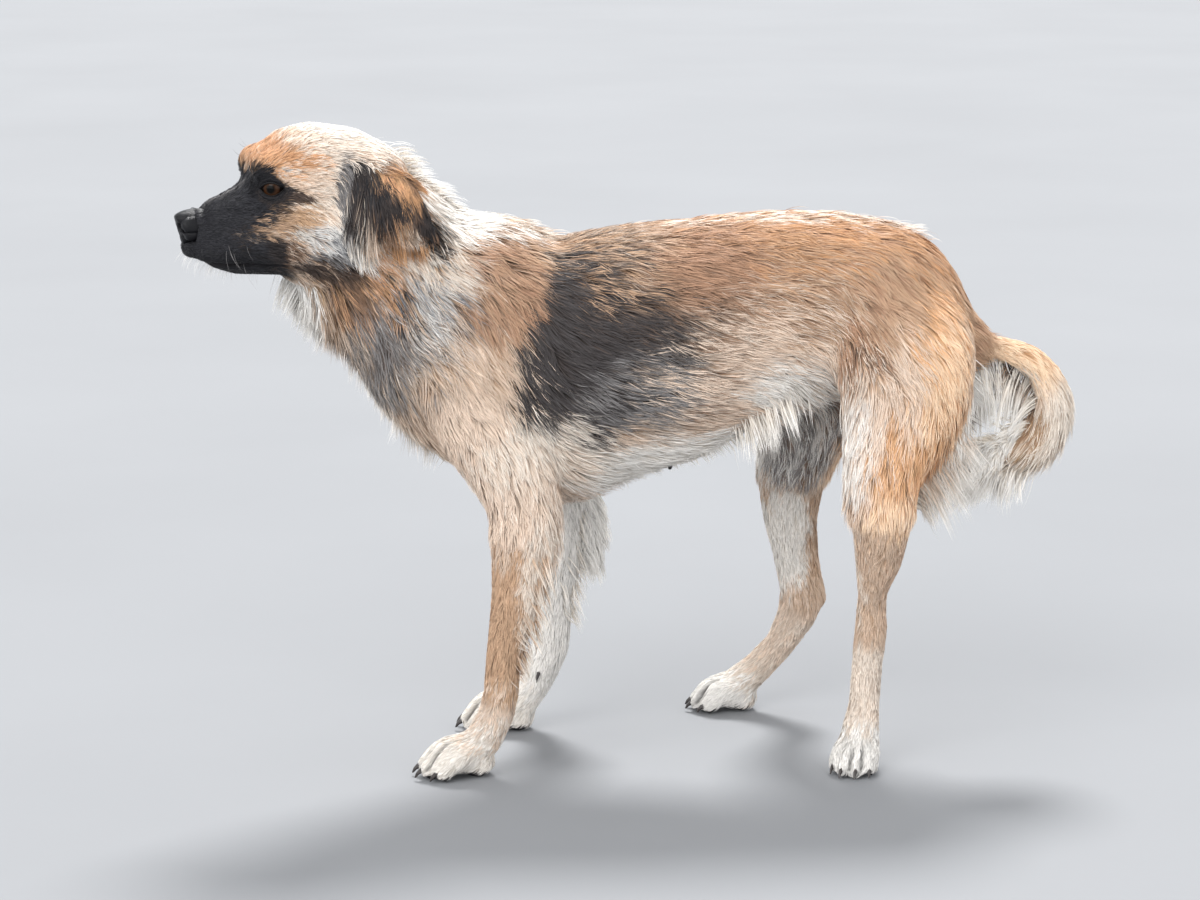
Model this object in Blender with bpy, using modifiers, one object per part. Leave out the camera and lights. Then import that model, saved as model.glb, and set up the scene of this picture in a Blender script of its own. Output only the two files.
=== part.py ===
"""A standing mixed-breed dog, life size, as separate solids for head, ears, eyes, body, legs, claws and tail.

The dog faces -X, its left side is at -Y and the floor is z = 0. Every outline here is the outline of the coat.
Lofts along the spine, head, legs and tail are fused into one body, which thin cuts then part into its nodes.
"""

import math

import bmesh
import bpy
from mathutils import Matrix, Vector

# Driving dimensions, in metres.
GAP = 0.0003  # clearance between two solids that meet
CUT = 0.0004  # thickness of the thin cuts that part the body
FUSE_VOXEL = 0.002
BODY_TRIANGLES = 2900
RING_POINTS = 24
SPLINE_STEPS = 5  # rings between two named stations

HEAD_PIVOT = Vector((-0.165, 0.0, 0.0))  # under the back of the skull
HEAD_YAW = math.radians(17)  # the head turns a little to the dog's left
EYE_RADIUS = 0.0102
EYE_CENTRE = Vector((0.0775, 0.0200, 0.4045))  # in the head's frame, left eye
EYE_TURN = math.radians(56)  # how far an eye looks out to its side
LID_OPENING = (0.0108, 0.0062)  # half length and half height of the opening between the lids
NOSE_CENTRE = Vector((0.1325, 0.0, 0.3800))

LEFT, RIGHT = -1, 1
SIDES = {"left": LEFT, "right": RIGHT}

# Neck and trunk: top point (x, z), bottom point (x, z), half width, and how much wider the top is than the bottom.
TORSO = {
    "skull_base": ((-0.155, 0.420), (-0.231, 0.336), 0.044, 0.0),
    "throat": ((-0.138, 0.406), (-0.214, 0.316), 0.047, 0.0),
    "mid_neck": ((-0.117, 0.389), (-0.194, 0.291), 0.050, 0.0),
    "neck_base": ((-0.096, 0.3805), (-0.171, 0.261), 0.055, 0.02),
    "prosternum": ((-0.078, 0.378), (-0.150, 0.235), 0.060, 0.05),
    "shoulder": ((-0.060, 0.370), (-0.122, 0.210), 0.064, 0.08),
    "elbow": ((-0.044, 0.3635), (-0.085, 0.190), 0.066, 0.10),
    "brisket": ((-0.020, 0.3685), (-0.040, 0.181), 0.067, 0.12),
    "ribs": ((0.012, 0.3735), (0.003, 0.197), 0.067, 0.10),
    "last_rib": ((0.052, 0.3765), (0.046, 0.208), 0.063, 0.06),
    "waist": ((0.090, 0.3805), (0.080, 0.226), 0.053, 0.03),
    "flank": ((0.125, 0.381), (0.112, 0.246), 0.050, 0.03),
    "pelvis": ((0.160, 0.3775), (0.148, 0.252), 0.051, 0.05),
    "croup": ((0.196, 0.367), (0.180, 0.252), 0.049, 0.05),
    "rump": ((0.222, 0.346), (0.208, 0.258), 0.040, 0.0),
    "tail_root": ((0.240, 0.310), (0.228, 0.272), 0.022, 0.0),
}

# Head, in its own frame (x forward, y to its left, z up): x, top, bottom, half width, top wider than bottom, squareness.
HEAD = {
    "occiput": (-0.024, 0.409, 0.362, 0.032, 0.0, 2.0),
    "nape": (-0.010, 0.4235, 0.350, 0.043, 0.0, 2.1),
    "crown": (0.013, 0.437, 0.345, 0.048, 0.02, 2.2),
    "dome": (0.035, 0.4435, 0.3425, 0.0485, 0.04, 2.2),
    "forehead": (0.056, 0.4455, 0.342, 0.046, 0.04, 2.3),
    "brow": (0.071, 0.4425, 0.343, 0.0405, 0.0, 2.4),
    "stop": (0.083, 0.425, 0.344, 0.033, -0.08, 2.4),
    "bridge": (0.092, 0.4095, 0.345, 0.027, -0.12, 2.4),
    "muzzle": (0.102, 0.4025, 0.346, 0.0235, -0.15, 2.5),
    "muzzle_mid": (0.112, 0.3970, 0.349, 0.0215, -0.15, 2.6),
    "muzzle_front": (0.119, 0.3930, 0.352, 0.0190, -0.12, 2.6),
    "lips": (0.124, 0.3870, 0.356, 0.0145, -0.10, 2.4),
}

# Rounded masses on the head, left side: centre in the head's frame, radii.
HEAD_MASSES = {
    "brow_ridge": ((0.0680, 0.0160, 0.4170), (0.0270, 0.0165, 0.0165)),
    "cheek": ((0.036, 0.030, 0.376), (0.040, 0.022, 0.032)),
    "cheekbone": ((0.060, 0.026, 0.389), (0.028, 0.0125, 0.012)),
    "flew": ((0.103, 0.0145, 0.362), (0.028, 0.0085, 0.0125)),
}

# Hollows in the head, left side, given in the same way.
HEAD_HOLLOWS = {
    "orbit": ((0.0865, 0.0400, 0.4050), (0.0210, 0.0105, 0.0095)),
}

# Legs: x, y, z, fore-and-aft radius, lateral radius, and the way the station faces in degrees outwards from -X.
FORELEG = {
    "left": {
        "shoulder_blade": (-0.088, -0.030, 0.325, 0.026, 0.022, 0),
        "shoulder_point": (-0.105, -0.042, 0.275, 0.037, 0.027, 0),
        "upper_arm": (-0.084, -0.047, 0.228, 0.035, 0.024, 0),
        "elbow": (-0.071, -0.053, 0.190, 0.0255, 0.0195, 0),
        "forearm_top": (-0.0715, -0.0545, 0.156, 0.0215, 0.0175, 0),
        "forearm": (-0.0755, -0.055, 0.124, 0.0175, 0.0155, 0),
        "forearm_low": (-0.0818, -0.055, 0.097, 0.0134, 0.0132, 2),
        "wrist_top": (-0.0855, -0.055, 0.078, 0.0118, 0.0125, 4),
        "wrist": (-0.0865, -0.055, 0.060, 0.0118, 0.0128, 6),
        "pastern": (-0.0905, -0.055, 0.042, 0.0118, 0.0128, 8),
        "paw_root": (-0.1000, -0.056, 0.024, 0.0125, 0.0140, 8),
    },
    "right": {
        "shoulder_blade": (-0.082, 0.030, 0.325, 0.026, 0.022, 0),
        "shoulder_point": (-0.097, 0.042, 0.275, 0.037, 0.027, 0),
        "upper_arm": (-0.068, 0.047, 0.228, 0.035, 0.024, 0),
        "elbow": (-0.049, 0.051, 0.190, 0.0255, 0.0195, 0),
        "forearm_top": (-0.044, 0.051, 0.156, 0.0215, 0.0175, 0),
        "forearm": (-0.0435, 0.051, 0.124, 0.0175, 0.0155, 0),
        "forearm_low": (-0.0475, 0.051, 0.097, 0.0150, 0.0132, 2),
        "wrist_top": (-0.0472, 0.051, 0.078, 0.0140, 0.0128, 4),
        "wrist": (-0.0485, 0.051, 0.060, 0.0128, 0.0128, 6),
        "pastern": (-0.0560, 0.052, 0.040, 0.0118, 0.0128, 8),
        "paw_root": (-0.0670, 0.052, 0.024, 0.0125, 0.0140, 8),
    },
}
HINDLEG = {
    "left": {
        "hip": (0.180, -0.024, 0.326, 0.036, 0.022, 0),
        "thigh_top": (0.188, -0.038, 0.290, 0.049, 0.031, 0),
        "thigh": (0.184, -0.047, 0.250, 0.041, 0.029, 5),
        "thigh_low": (0.173, -0.056, 0.212, 0.0290, 0.0250, 12),
        "stifle": (0.172, -0.060, 0.180, 0.0215, 0.0210, 25),
        "calf": (0.171, -0.055, 0.150, 0.0155, 0.0165, 40),
        "shin": (0.168, -0.047, 0.121, 0.0105, 0.0095, 55),
        "hock": (0.168, -0.041, 0.094, 0.0130, 0.0110, 62),
        "metatarsus": (0.1655, -0.043, 0.066, 0.0108, 0.0100, 66),
        "metatarsus_low": (0.163, -0.049, 0.040, 0.0105, 0.0108, 68),
        "paw_root": (0.160, -0.055, 0.022, 0.0120, 0.0135, 68),
    },
    "right": {
        "hip": (0.178, 0.024, 0.326, 0.036, 0.022, 0),
        "thigh_top": (0.174, 0.038, 0.290, 0.049, 0.031, 0),
        "thigh": (0.152, 0.050, 0.250, 0.043, 0.028, 0),
        "thigh_low": (0.133, 0.062, 0.212, 0.0340, 0.0240, 0),
        "stifle": (0.126, 0.070, 0.180, 0.0250, 0.0200, 0),
        "calf": (0.1255, 0.075, 0.148, 0.0195, 0.0155, 0),
        "shin": (0.1270, 0.079, 0.115, 0.0120, 0.0105, 0),
        "hock": (0.1345, 0.081, 0.084, 0.0150, 0.0115, 0),
        "metatarsus": (0.1235, 0.084, 0.056, 0.0112, 0.0100, 0),
        "metatarsus_low": (0.1060, 0.088, 0.034, 0.0108, 0.0108, 0),
        "paw_root": (0.0930, 0.090, 0.022, 0.0120, 0.0135, 0),
    },
}
# The tendon at the back of the shank, from the calf to the point of the hock: (x, y, z, radius).
TENDON = {
    "left": ((0.176, -0.046, 0.150, 0.010), (0.174, -0.033, 0.120, 0.0065), (0.1735, -0.027, 0.097, 0.0075)),
    "right": ((0.135, 0.075, 0.150, 0.010), (0.1405, 0.079, 0.115, 0.0065), (0.1465, 0.080, 0.085, 0.0075)),
}

# Paws: centre on the floor (x, y), degrees outwards from -X, and size against a fore paw.
PAWS = {
    "fore_left": ((-0.1155, -0.0555), 8, 1.04),
    "fore_right": ((-0.0840, 0.0530), 6, 1.04),
    "hind_left": ((0.1575, -0.0600), 68, 0.92),
    "hind_right": ((0.0815, 0.0910), 4, 0.96),
}
# Toes in the paw's frame (forward, sideways, up, radius) from the root over the knuckle to the tip.
TOES = {
    "inner": ((-0.007, -0.0095, 0.019, 0.0060), (0.003, -0.0122, 0.0155, 0.0062), (0.0120, -0.0133, 0.0056, 0.0060)),
    "mid_inner": ((-0.002, -0.004, 0.022, 0.0062), (0.010, -0.0047, 0.0180, 0.0066), (0.0205, -0.0052, 0.0060, 0.0064)),
    "mid_outer": ((-0.002, 0.004, 0.022, 0.0062), (0.010, 0.0047, 0.0180, 0.0066), (0.0205, 0.0052, 0.0060, 0.0064)),
    "outer": ((-0.007, 0.0095, 0.019, 0.0060), (0.003, 0.0122, 0.0155, 0.0062), (0.0120, 0.0133, 0.0056, 0.0060)),
}
PAW_MASSES = {
    "heel_pad": ((-0.0120, 0.0, 0.0085), (0.0120, 0.0135, 0.0098)),
    "palm": ((-0.0030, 0.0, 0.0145), (0.0200, 0.0150, 0.0135)),
}
CLAW_LENGTH = 0.0078
CLAW_RADIUS = 0.0019
CLAW_TIP_RADIUS = 0.0006
CLAW_STEPS = 3
CLAW_POINTS = 6
CLAW_CURL = math.radians(62)  # how far a claw turns downwards along its length

# Tail: x, y, z, radius. It leaves the rump level, then curls down and under.
TAIL = {
    "root": (0.226, 0.0, 0.294, 0.0150),
    "dock": (0.243, 0.0, 0.287, 0.0085),
    "base": (0.258, 0.001, 0.2835, 0.0075),
    "rise": (0.276, 0.002, 0.2775, 0.0098),
    "crest": (0.291, 0.003, 0.2650, 0.0125),
    "turn": (0.2985, 0.004, 0.2470, 0.0145),
    "fall": (0.2960, 0.005, 0.2290, 0.0160),
    "hook": (0.2850, 0.006, 0.2150, 0.0155),
    "tip": (0.2700, 0.006, 0.2090, 0.0100),
}

# Ear, left, in the head's frame: centre, chord vector (half, pointing back and up), half thickness.
EAR = {
    "root": ((0.0185, 0.0340, 0.4180), (-0.0155, 0.0, 0.0030), 0.0060),
    "fold": ((0.0175, 0.0430, 0.4120), (-0.0175, 0.0, 0.0050), 0.0065),
    "flap": ((0.0120, 0.0505, 0.3985), (-0.0185, 0.0010, 0.0110), 0.0060),
    "mid": ((0.0040, 0.0535, 0.3880), (-0.0165, 0.0015, 0.0120), 0.0055),
    "low": ((-0.0070, 0.0545, 0.3800), (-0.0095, 0.0010, 0.0080), 0.0045),
    "tip": ((-0.0190, 0.0545, 0.3735), (-0.0025, 0.0, 0.0025), 0.0025),
}

# Long hair that hangs clear of the body, as flat fins: centre, half chord vector, half thickness.
FEATHERS = {
    "foreleg_feather_right": {
        "top": ((-0.022, 0.050, 0.168), (0.0050, 0.0, 0.0030), 0.0035),
        "upper": ((-0.018, 0.050, 0.152), (0.0110, 0.0, 0.0050), 0.0055),
        "mid": ((-0.017, 0.050, 0.134), (0.0130, 0.0, 0.0030), 0.0055),
        "low": ((-0.018, 0.050, 0.118), (0.0105, 0.0, -0.0020), 0.0045),
        "tip": ((-0.016, 0.050, 0.106), (0.0050, 0.0, -0.0030), 0.0020),
    },
    "foreleg_feather_left": {
        "top": ((-0.050, -0.053, 0.168), (0.0030, 0.0, 0.0020), 0.0030),
        "upper": ((-0.051, -0.053, 0.154), (0.0060, 0.0, 0.0020), 0.0045),
        "mid": ((-0.054, -0.053, 0.138), (0.0055, 0.0, 0.0010), 0.0040),
        "tip": ((-0.059, -0.053, 0.122), (0.0025, 0.0, -0.0010), 0.0018),
    },
    "breeches_left": {
        "top": ((0.226, -0.034, 0.262), (0.0060, 0.0, 0.0030), 0.0060),
        "upper": ((0.2235, -0.034, 0.240), (0.0130, 0.0, 0.0050), 0.0090),
        "mid": ((0.2180, -0.036, 0.214), (0.0170, 0.0, 0.0030), 0.0085),
        "low": ((0.2130, -0.038, 0.190), (0.0130, 0.0, 0.0), 0.0065),
        "tip": ((0.2110, -0.039, 0.166), (0.0050, 0.0, -0.0010), 0.0025),
    },
    "breeches_right": {
        "top": ((0.222, 0.034, 0.262), (0.0060, 0.0, 0.0030), 0.0060),
        "upper": ((0.2180, 0.036, 0.240), (0.0140, 0.0, 0.0050), 0.0090),
        "mid": ((0.2080, 0.038, 0.214), (0.0190, 0.0, 0.0030), 0.0085),
        "low": ((0.2000, 0.040, 0.190), (0.0150, 0.0, 0.0), 0.0065),
        "tip": ((0.1980, 0.041, 0.168), (0.0060, 0.0, -0.0010), 0.0025),
    },
    "tail_plume": {
        "top": ((0.245, 0.003, 0.266), (0.0060, 0.0, 0.0040), 0.0050),
        "upper": ((0.249, 0.004, 0.248), (0.0120, 0.0, 0.0060), 0.0080),
        "mid": ((0.255, 0.005, 0.226), (0.0200, 0.0, 0.0080), 0.0100),
        "wide": ((0.257, 0.006, 0.205), (0.0310, 0.0, 0.0100), 0.0110),
        "low": ((0.249, 0.006, 0.187), (0.0300, 0.0, 0.0070), 0.0090),
        "hem": ((0.243, 0.005, 0.174), (0.0210, 0.0, 0.0040), 0.0060),
        "tip": ((0.237, 0.004, 0.164), (0.0090, 0.0, 0.0010), 0.0030),
    },
}

# Thin cuts: centre, normal, half extents across the cut (first roughly sideways, then along the cut).
CUTS = {
    "head_neck": ((-0.184, -0.006, 0.377), (-0.76, 0.0, 0.65), (0.075, 0.085)),
    "neck_chest": ((-0.133, 0.0, 0.323), (-0.848, 0.0, 0.531), (0.080, 0.095)),
    "chest_loin": ((0.050, 0.0, 0.292), (1.0, 0.0, 0.0), (0.090, 0.110)),
    "shoulder_left": ((-0.080, -0.050, 0.230), (-0.25, -1.0, -0.505), (0.080, 0.066)),
    "shoulder_right": ((-0.065, 0.050, 0.230), (-0.25, 1.0, -0.505), (0.080, 0.066)),
    "elbow_left": ((-0.071, -0.054, 0.174), (0.0, 0.0, -1.0), (0.034, 0.034)),
    "elbow_right": ((-0.047, 0.052, 0.174), (0.0, 0.0, -1.0), (0.034, 0.034)),
    "wrist_left": ((-0.0885, -0.055, 0.050), (-0.2, 0.0, -0.98), (0.026, 0.026)),
    "wrist_right": ((-0.0520, 0.0515, 0.050), (-0.3, 0.0, -0.95), (0.026, 0.026)),
    "hip_left": ((0.178, -0.0382, 0.285), (0.24, -1.0, -0.385), (0.098, 0.095)),
    "hip_right": ((0.170, 0.0400, 0.285), (0.24, 1.0, -0.385), (0.098, 0.095)),
    "knee_left": ((0.172, -0.060, 0.186), (0.0, 0.0, -1.0), (0.040, 0.034)),
    "knee_right": ((0.127, 0.070, 0.186), (0.0, 0.0, -1.0), (0.040, 0.034)),
    "hock_left": ((0.169, -0.037, 0.084), (0.0, -0.15, -0.99), (0.026, 0.030)),
    "hock_right": ((0.137, 0.082, 0.074), (-0.45, 0.0, -0.89), (0.026, 0.034)),
    "tail_root": ((0.2445, 0.0, 0.287), (0.93, 0.0, -0.36), (0.030, 0.024)),
    "tail_mid": ((0.287, 0.003, 0.269), (0.65, 0.0, -0.76), (0.030, 0.026)),
    "tail_end": ((0.2965, 0.005, 0.232), (-0.1, 0.0, -0.99), (0.030, 0.026)),
}

# Where each parted piece has its middle, to name it.
BODY_NODES = {
    "head": (-0.225, -0.018, 0.398),
    "lower_jaw": (-0.262, -0.030, 0.350),
    "neck": (-0.155, 0.0, 0.345),
    "chest": (-0.030, 0.0, 0.290),
    "loin": (0.130, 0.0, 0.320),
    "foreleg_left_upper": (-0.080, -0.062, 0.205),
    "foreleg_right_upper": (-0.060, 0.062, 0.205),
    "foreleg_left_forearm": (-0.078, -0.055, 0.110),
    "foreleg_right_forearm": (-0.046, 0.051, 0.110),
    "foreleg_left_paw": (-0.112, -0.055, 0.020),
    "foreleg_right_paw": (-0.078, 0.052, 0.020),
    "hindleg_left_thigh": (0.182, -0.058, 0.245),
    "hindleg_right_thigh": (0.155, 0.060, 0.245),
    "hindleg_left_shank": (0.170, -0.050, 0.135),
    "hindleg_right_shank": (0.128, 0.076, 0.135),
    "hindleg_left_foot": (0.160, -0.053, 0.035),
    "hindleg_right_foot": (0.095, 0.088, 0.030),
    "tail_base": (0.265, 0.001, 0.281),
    "tail_middle": (0.297, 0.004, 0.249),
    "tail_tip": (0.283, 0.006, 0.213),
}

# Colour, roughness and metallic value of each material.
MATERIALS = {
    "tan_coat": ((0.52, 0.31, 0.16), 0.75, 0.0),
    "dark_coat": ((0.05, 0.045, 0.045), 0.7, 0.0),
    "pale_coat": ((0.78, 0.70, 0.60), 0.8, 0.0),
    "eye": ((0.16, 0.07, 0.02), 0.1, 0.0),
    "nose_leather": ((0.02, 0.02, 0.022), 0.35, 0.0),
    "claw": ((0.05, 0.045, 0.04), 0.4, 0.0),
}


def clear_scene():
    """Removes whatever the file holds."""
    for old in list(bpy.data.objects):
        bpy.data.objects.remove(old)


def new_collection(name):
    made = bpy.data.collections.new(name)
    bpy.context.scene.collection.children.link(made)
    return made


def make_materials():
    for name, (colour, roughness, metallic) in MATERIALS.items():
        material = bpy.data.materials.new(name)
        material.use_nodes = True
        shader = material.node_tree.nodes["Principled BSDF"]
        shader.inputs["Base Color"].default_value = (*colour, 1.0)
        shader.inputs["Roughness"].default_value = roughness
        shader.inputs["Metallic"].default_value = metallic
        material.diffuse_color = (*colour, 1.0)


def new_object(name, mesh, collection):
    made = bpy.data.objects.new(name, mesh)
    collection.objects.link(made)
    return made


def spline(rows, steps=SPLINE_STEPS):
    """Rows of numbers with steps - 1 more between each two, on a Catmull-Rom curve through them."""
    rows = [tuple(row) for row in rows]
    ends = [rows[0], *rows, rows[-1]]
    made = []
    for a, b, c, d in zip(ends, ends[1:], ends[2:], ends[3:]):
        for step in range(steps):
            t = step / steps
            made.append(
                tuple(
                    0.5 * (2 * q + (r - p) * t + (2 * p - 5 * q + 4 * r - s) * t**2 + (3 * q - p - 3 * r + s) * t**3)
                    for p, q, r, s in zip(a, b, c, d)
                )
            )
    return [*made, rows[-1]]


def oval(centre, up, side, wider_top=0.0, squareness=2.0, points=RING_POINTS):
    """A ring of points: a superellipse with half axes up and side, wider at its top than at its bottom."""
    ring = []
    for i in range(points):
        angle = 2 * math.pi * i / points
        rise = math.copysign(abs(math.sin(angle)) ** (2 / squareness), math.sin(angle))
        reach = math.copysign(abs(math.cos(angle)) ** (2 / squareness), math.cos(angle))
        ring.append(centre + up * rise + side * reach * (1 + wider_top * rise))
    return ring


def loft(name, rings, collection, dome=(30, 60, 82)):
    """A closed body through the rings, with its ends domed by smaller rings at these degrees."""
    bm = bmesh.new()
    rings = [*rounded_end(rings[0], rings[1], dome)[::-1], *rings, *rounded_end(rings[-1], rings[-2], dome)]
    loops = [[bm.verts.new(point) for point in ring] for ring in rings]
    for low, high in zip(loops, loops[1:]):
        for i, corner in enumerate(low):
            after = (i + 1) % len(low)
            bm.faces.new((corner, low[after], high[after], high[i]))
    bm.faces.new(loops[0][::-1])
    bm.faces.new(loops[-1])
    bmesh.ops.recalc_face_normals(bm, faces=bm.faces)
    mesh = bpy.data.meshes.new(name)
    bm.to_mesh(mesh)
    bm.free()
    return new_object(name, mesh, collection)


def rounded_end(ring, inner, dome):
    """Smaller rings beyond an end ring, which dome it."""
    centre = sum(ring, Vector()) / len(ring)
    outward = (centre - sum(inner, Vector()) / len(inner)).normalized()
    reach = min((point - centre).length for point in ring)
    made = []
    for degrees in dome:
        shrink = math.cos(math.radians(degrees))
        push = outward * reach * math.sin(math.radians(degrees))
        made.append([centre + (point - centre) * shrink + push for point in ring])
    return made


def ellipsoid(name, centre, radii, frame, collection, segments=16):
    """An ellipsoid along the axes of frame."""
    bm = bmesh.new()
    bmesh.ops.create_uvsphere(bm, u_segments=segments, v_segments=segments * 5 // 8, radius=1.0)
    bm.transform(frame @ Matrix.Translation(centre) @ Matrix.Diagonal((*radii, 1.0)))
    mesh = bpy.data.meshes.new(name)
    bm.to_mesh(mesh)
    bm.free()
    return new_object(name, mesh, collection)


def head_frame():
    """From the head's frame (x forward, y left, z up) to the dog's."""
    return Matrix.Translation(HEAD_PIVOT) @ Matrix.Rotation(math.pi + HEAD_YAW, 4, "Z")


def torso_rings():
    rows = [(*top, *bottom, width, wider) for top, bottom, width, wider in TORSO.values()]
    rings = []
    for top_x, top_z, bottom_x, bottom_z, width, wider in spline(rows):
        top = Vector((top_x, 0, top_z))
        bottom = Vector((bottom_x, 0, bottom_z))
        rings.append(oval((top + bottom) / 2, (top - bottom) / 2, Vector((0, width, 0)), wider, 2.15))
    return rings


def head_rings():
    frame = head_frame()
    rings = []
    for x, top, bottom, width, wider, squareness in spline(HEAD.values()):
        centre = Vector((x, 0, (top + bottom) / 2))
        ring = oval(centre, Vector((0, 0, (top - bottom) / 2)), Vector((0, width, 0)), wider, squareness)
        rings.append([frame @ point for point in ring])
    return rings


def facing(degrees, side):
    """A level unit vector that points degrees outwards from -X on that side."""
    angle = math.radians(degrees)
    return Vector((-math.cos(angle), side * math.sin(angle), 0))


def limb_rings(stations, side):
    """Oval rings square to the limb's own line, each turned to the way its station faces."""
    rows = spline(stations)
    points = [Vector(row[:3]) for row in rows]
    rings = []
    for i, (row, centre) in enumerate(zip(rows, points)):
        along = (points[min(i + 1, len(points) - 1)] - points[max(i - 1, 0)]).normalized()
        forward = facing(row[5], side)
        forward = (forward - along * forward.dot(along)).normalized()
        rings.append(oval(centre, forward * row[3], along.cross(forward) * row[4]))
    return rings


def round_limb_rings(stations, points=12):
    """Round rings along a bent line of (x, y, z, radius)."""
    rows = spline(stations)
    line = [Vector(row[:3]) for row in rows]
    rings = []
    for i, row in enumerate(rows):
        along = (line[min(i + 1, len(line) - 1)] - line[max(i - 1, 0)]).normalized()
        across = along.cross(Vector((0.13, 0.98, 0.11))).normalized()
        rings.append(oval(line[i], across * row[3], along.cross(across) * row[3], points=points))
    return rings


def fin_rings(stations, frame, points=8):
    """Flat rings: each station gives its centre, half chord and half thickness."""
    rows = spline([(*centre, *chord, thick) for centre, chord, thick in stations], 2)
    line = [Vector(row[:3]) for row in rows]
    turn = frame.to_3x3()
    rings = []
    for i, row in enumerate(rows):
        along = line[min(i + 1, len(line) - 1)] - line[max(i - 1, 0)]
        chord = Vector(row[3:6])
        thick = chord.cross(along).normalized() * row[6]
        rings.append(oval(frame @ line[i], turn @ chord, turn @ thick, points=points))
    return rings


def paw_frame(name):
    """From the paw's frame (x forward, y to its own outer side, z up) to the dog's."""
    (x, y), degrees, size = PAWS[name]
    side = SIDES[name.split("_")[1]]
    forward = facing(degrees, side)
    outward = Vector((-forward.y * side, forward.x * side, 0)) * -side
    if outward.y * side < 0:
        outward = -outward
    turn = Matrix((forward, outward, Vector((0, 0, 1)))).transposed().to_4x4()
    return Matrix.Translation((x, y, 0)) @ turn @ Matrix.Diagonal((size, size, size, 1))


def placed_rows(rows, frame, size):
    return [(*(frame @ Vector(row[:3])), row[3] * size) for row in rows]


def both_sides(table, collection):
    """The ellipsoids of a table of the head, on its left and its right."""
    made = []
    for name, ((x, y, z), radii) in table.items():
        for mirror in (1, -1):
            made.append(ellipsoid(name, Vector((x, y * mirror, z)), radii, head_frame(), collection))
    return made


def make_body(collection):
    """The fused body, of lofts and rounded masses, cut level at the floor."""
    scaffold = bpy.data.collections.new("scaffold")
    pieces = [loft("torso", torso_rings(), scaffold), loft("skull", head_rings(), scaffold)]
    pieces += both_sides(HEAD_MASSES, scaffold)
    subtract(pieces[1], both_sides(HEAD_HOLLOWS, bpy.data.collections["cutters"]))
    for name, side in SIDES.items():
        pieces.append(loft("foreleg", limb_rings(FORELEG[name].values(), side), scaffold))
        pieces.append(loft("hindleg", limb_rings(HINDLEG[name].values(), side), scaffold))
        pieces.append(loft("tendon", round_limb_rings(TENDON[name]), scaffold))
    pieces.append(loft("tail", round_limb_rings(TAIL.values()), scaffold))
    for name in PAWS:
        paw = paw_frame(name)
        for mass, (centre, radii) in PAW_MASSES.items():
            pieces.append(ellipsoid(mass, Vector(centre), radii, paw, scaffold))
        for rows in TOES.values():
            pieces.append(loft("toe", round_limb_rings(placed_rows(rows, paw, PAWS[name][2])), scaffold))
    body = joined("body", pieces, collection)
    remesh = body.modifiers.new("fuse", "REMESH")
    remesh.mode = "VOXEL"
    remesh.voxel_size = FUSE_VOXEL
    smooth = body.modifiers.new("blend", "SMOOTH")
    smooth.factor = 0.5
    smooth.iterations = 7
    body = baked(body)
    triangles = body.modifiers.new("triangles", "TRIANGULATE")
    triangles.quad_method = "SHORTEST_DIAGONAL"
    thin = body.modifiers.new("lighten", "DECIMATE")
    thin.ratio = BODY_TRIANGLES / (2 * len(body.data.polygons))
    body = baked(body)
    subtract(body, [floor_cutter()])
    return body


def joined(name, pieces, collection):
    """One mesh of all the pieces, which are removed."""
    bm = bmesh.new()
    for piece in pieces:
        bm.from_mesh(piece.data)
        bpy.data.objects.remove(piece)
    mesh = bpy.data.meshes.new(name)
    bm.to_mesh(mesh)
    bm.free()
    return new_object(name, mesh, collection)


def baked(obj):
    """The object with its modifiers applied."""
    graph = bpy.context.evaluated_depsgraph_get()
    mesh = bpy.data.meshes.new_from_object(obj.evaluated_get(graph))
    obj.modifiers.clear()
    obj.data = mesh
    return obj


def subtract(obj, cutters):
    """Cuts each cutter out of obj in turn, and removes the cutters."""
    for cutter in cutters:
        cut = obj.modifiers.new("cut", "BOOLEAN")
        cut.operation = "DIFFERENCE"
        cut.object = cutter
        baked(obj)
        bpy.data.objects.remove(cutter)
    return obj


def box_cutter(name, centre, turn, half):
    bm = bmesh.new()
    bmesh.ops.create_cube(bm, size=2.0)
    bm.transform(Matrix.Translation(centre) @ turn @ Matrix.Diagonal((*half, 1.0)))
    mesh = bpy.data.meshes.new(name)
    bm.to_mesh(mesh)
    bm.free()
    made = new_object(name, mesh, bpy.data.collections["cutters"])
    made.hide_render = True
    made.display_type = "WIRE"
    return made


def floor_cutter():
    depth = 0.05
    return box_cutter("floor", Vector((0, 0, -depth)), Matrix.Identity(4), (0.6, 0.4, depth))


def slab(name, centre, normal, half, sideways=None):
    """A thin cut: a slab across normal. Its first half extent runs sideways."""
    normal = Vector(normal).normalized()
    if sideways is None:
        sideways = Vector((0, 1, 0)) if abs(normal.y) < 0.5 else Vector((1, 0, 0))
    sideways = (sideways - normal * sideways.dot(normal)).normalized()
    turn = Matrix((sideways, normal.cross(sideways), normal)).transposed().to_4x4()
    return box_cutter(name, Vector(centre), turn, (*half, CUT / 2))


def jaw_cuts():
    """Two cuts in the head's frame: one back along the lips, and one from the corner of the mouth down."""
    frame = head_frame()
    turn = frame.to_3x3()
    mouth_corner = Vector((0.071, 0.0, 0.3540))
    lip_front = Vector((0.145, 0.0, 0.3595))
    jaw_angle = Vector((0.0690, 0.0, 0.3260))
    made = []
    for name, start, end in (("lips", mouth_corner, lip_front), ("jaw", jaw_angle, mouth_corner)):
        run = end - start
        normal = Vector((-run.z, 0, run.x)).normalized()
        middle = (start + end) / 2
        half = (0.045, run.length / 2 + CUT / 2)
        made.append(slab(name, frame @ middle, turn @ normal, half, turn @ Vector((0, 1, 0))))
    return made


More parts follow.
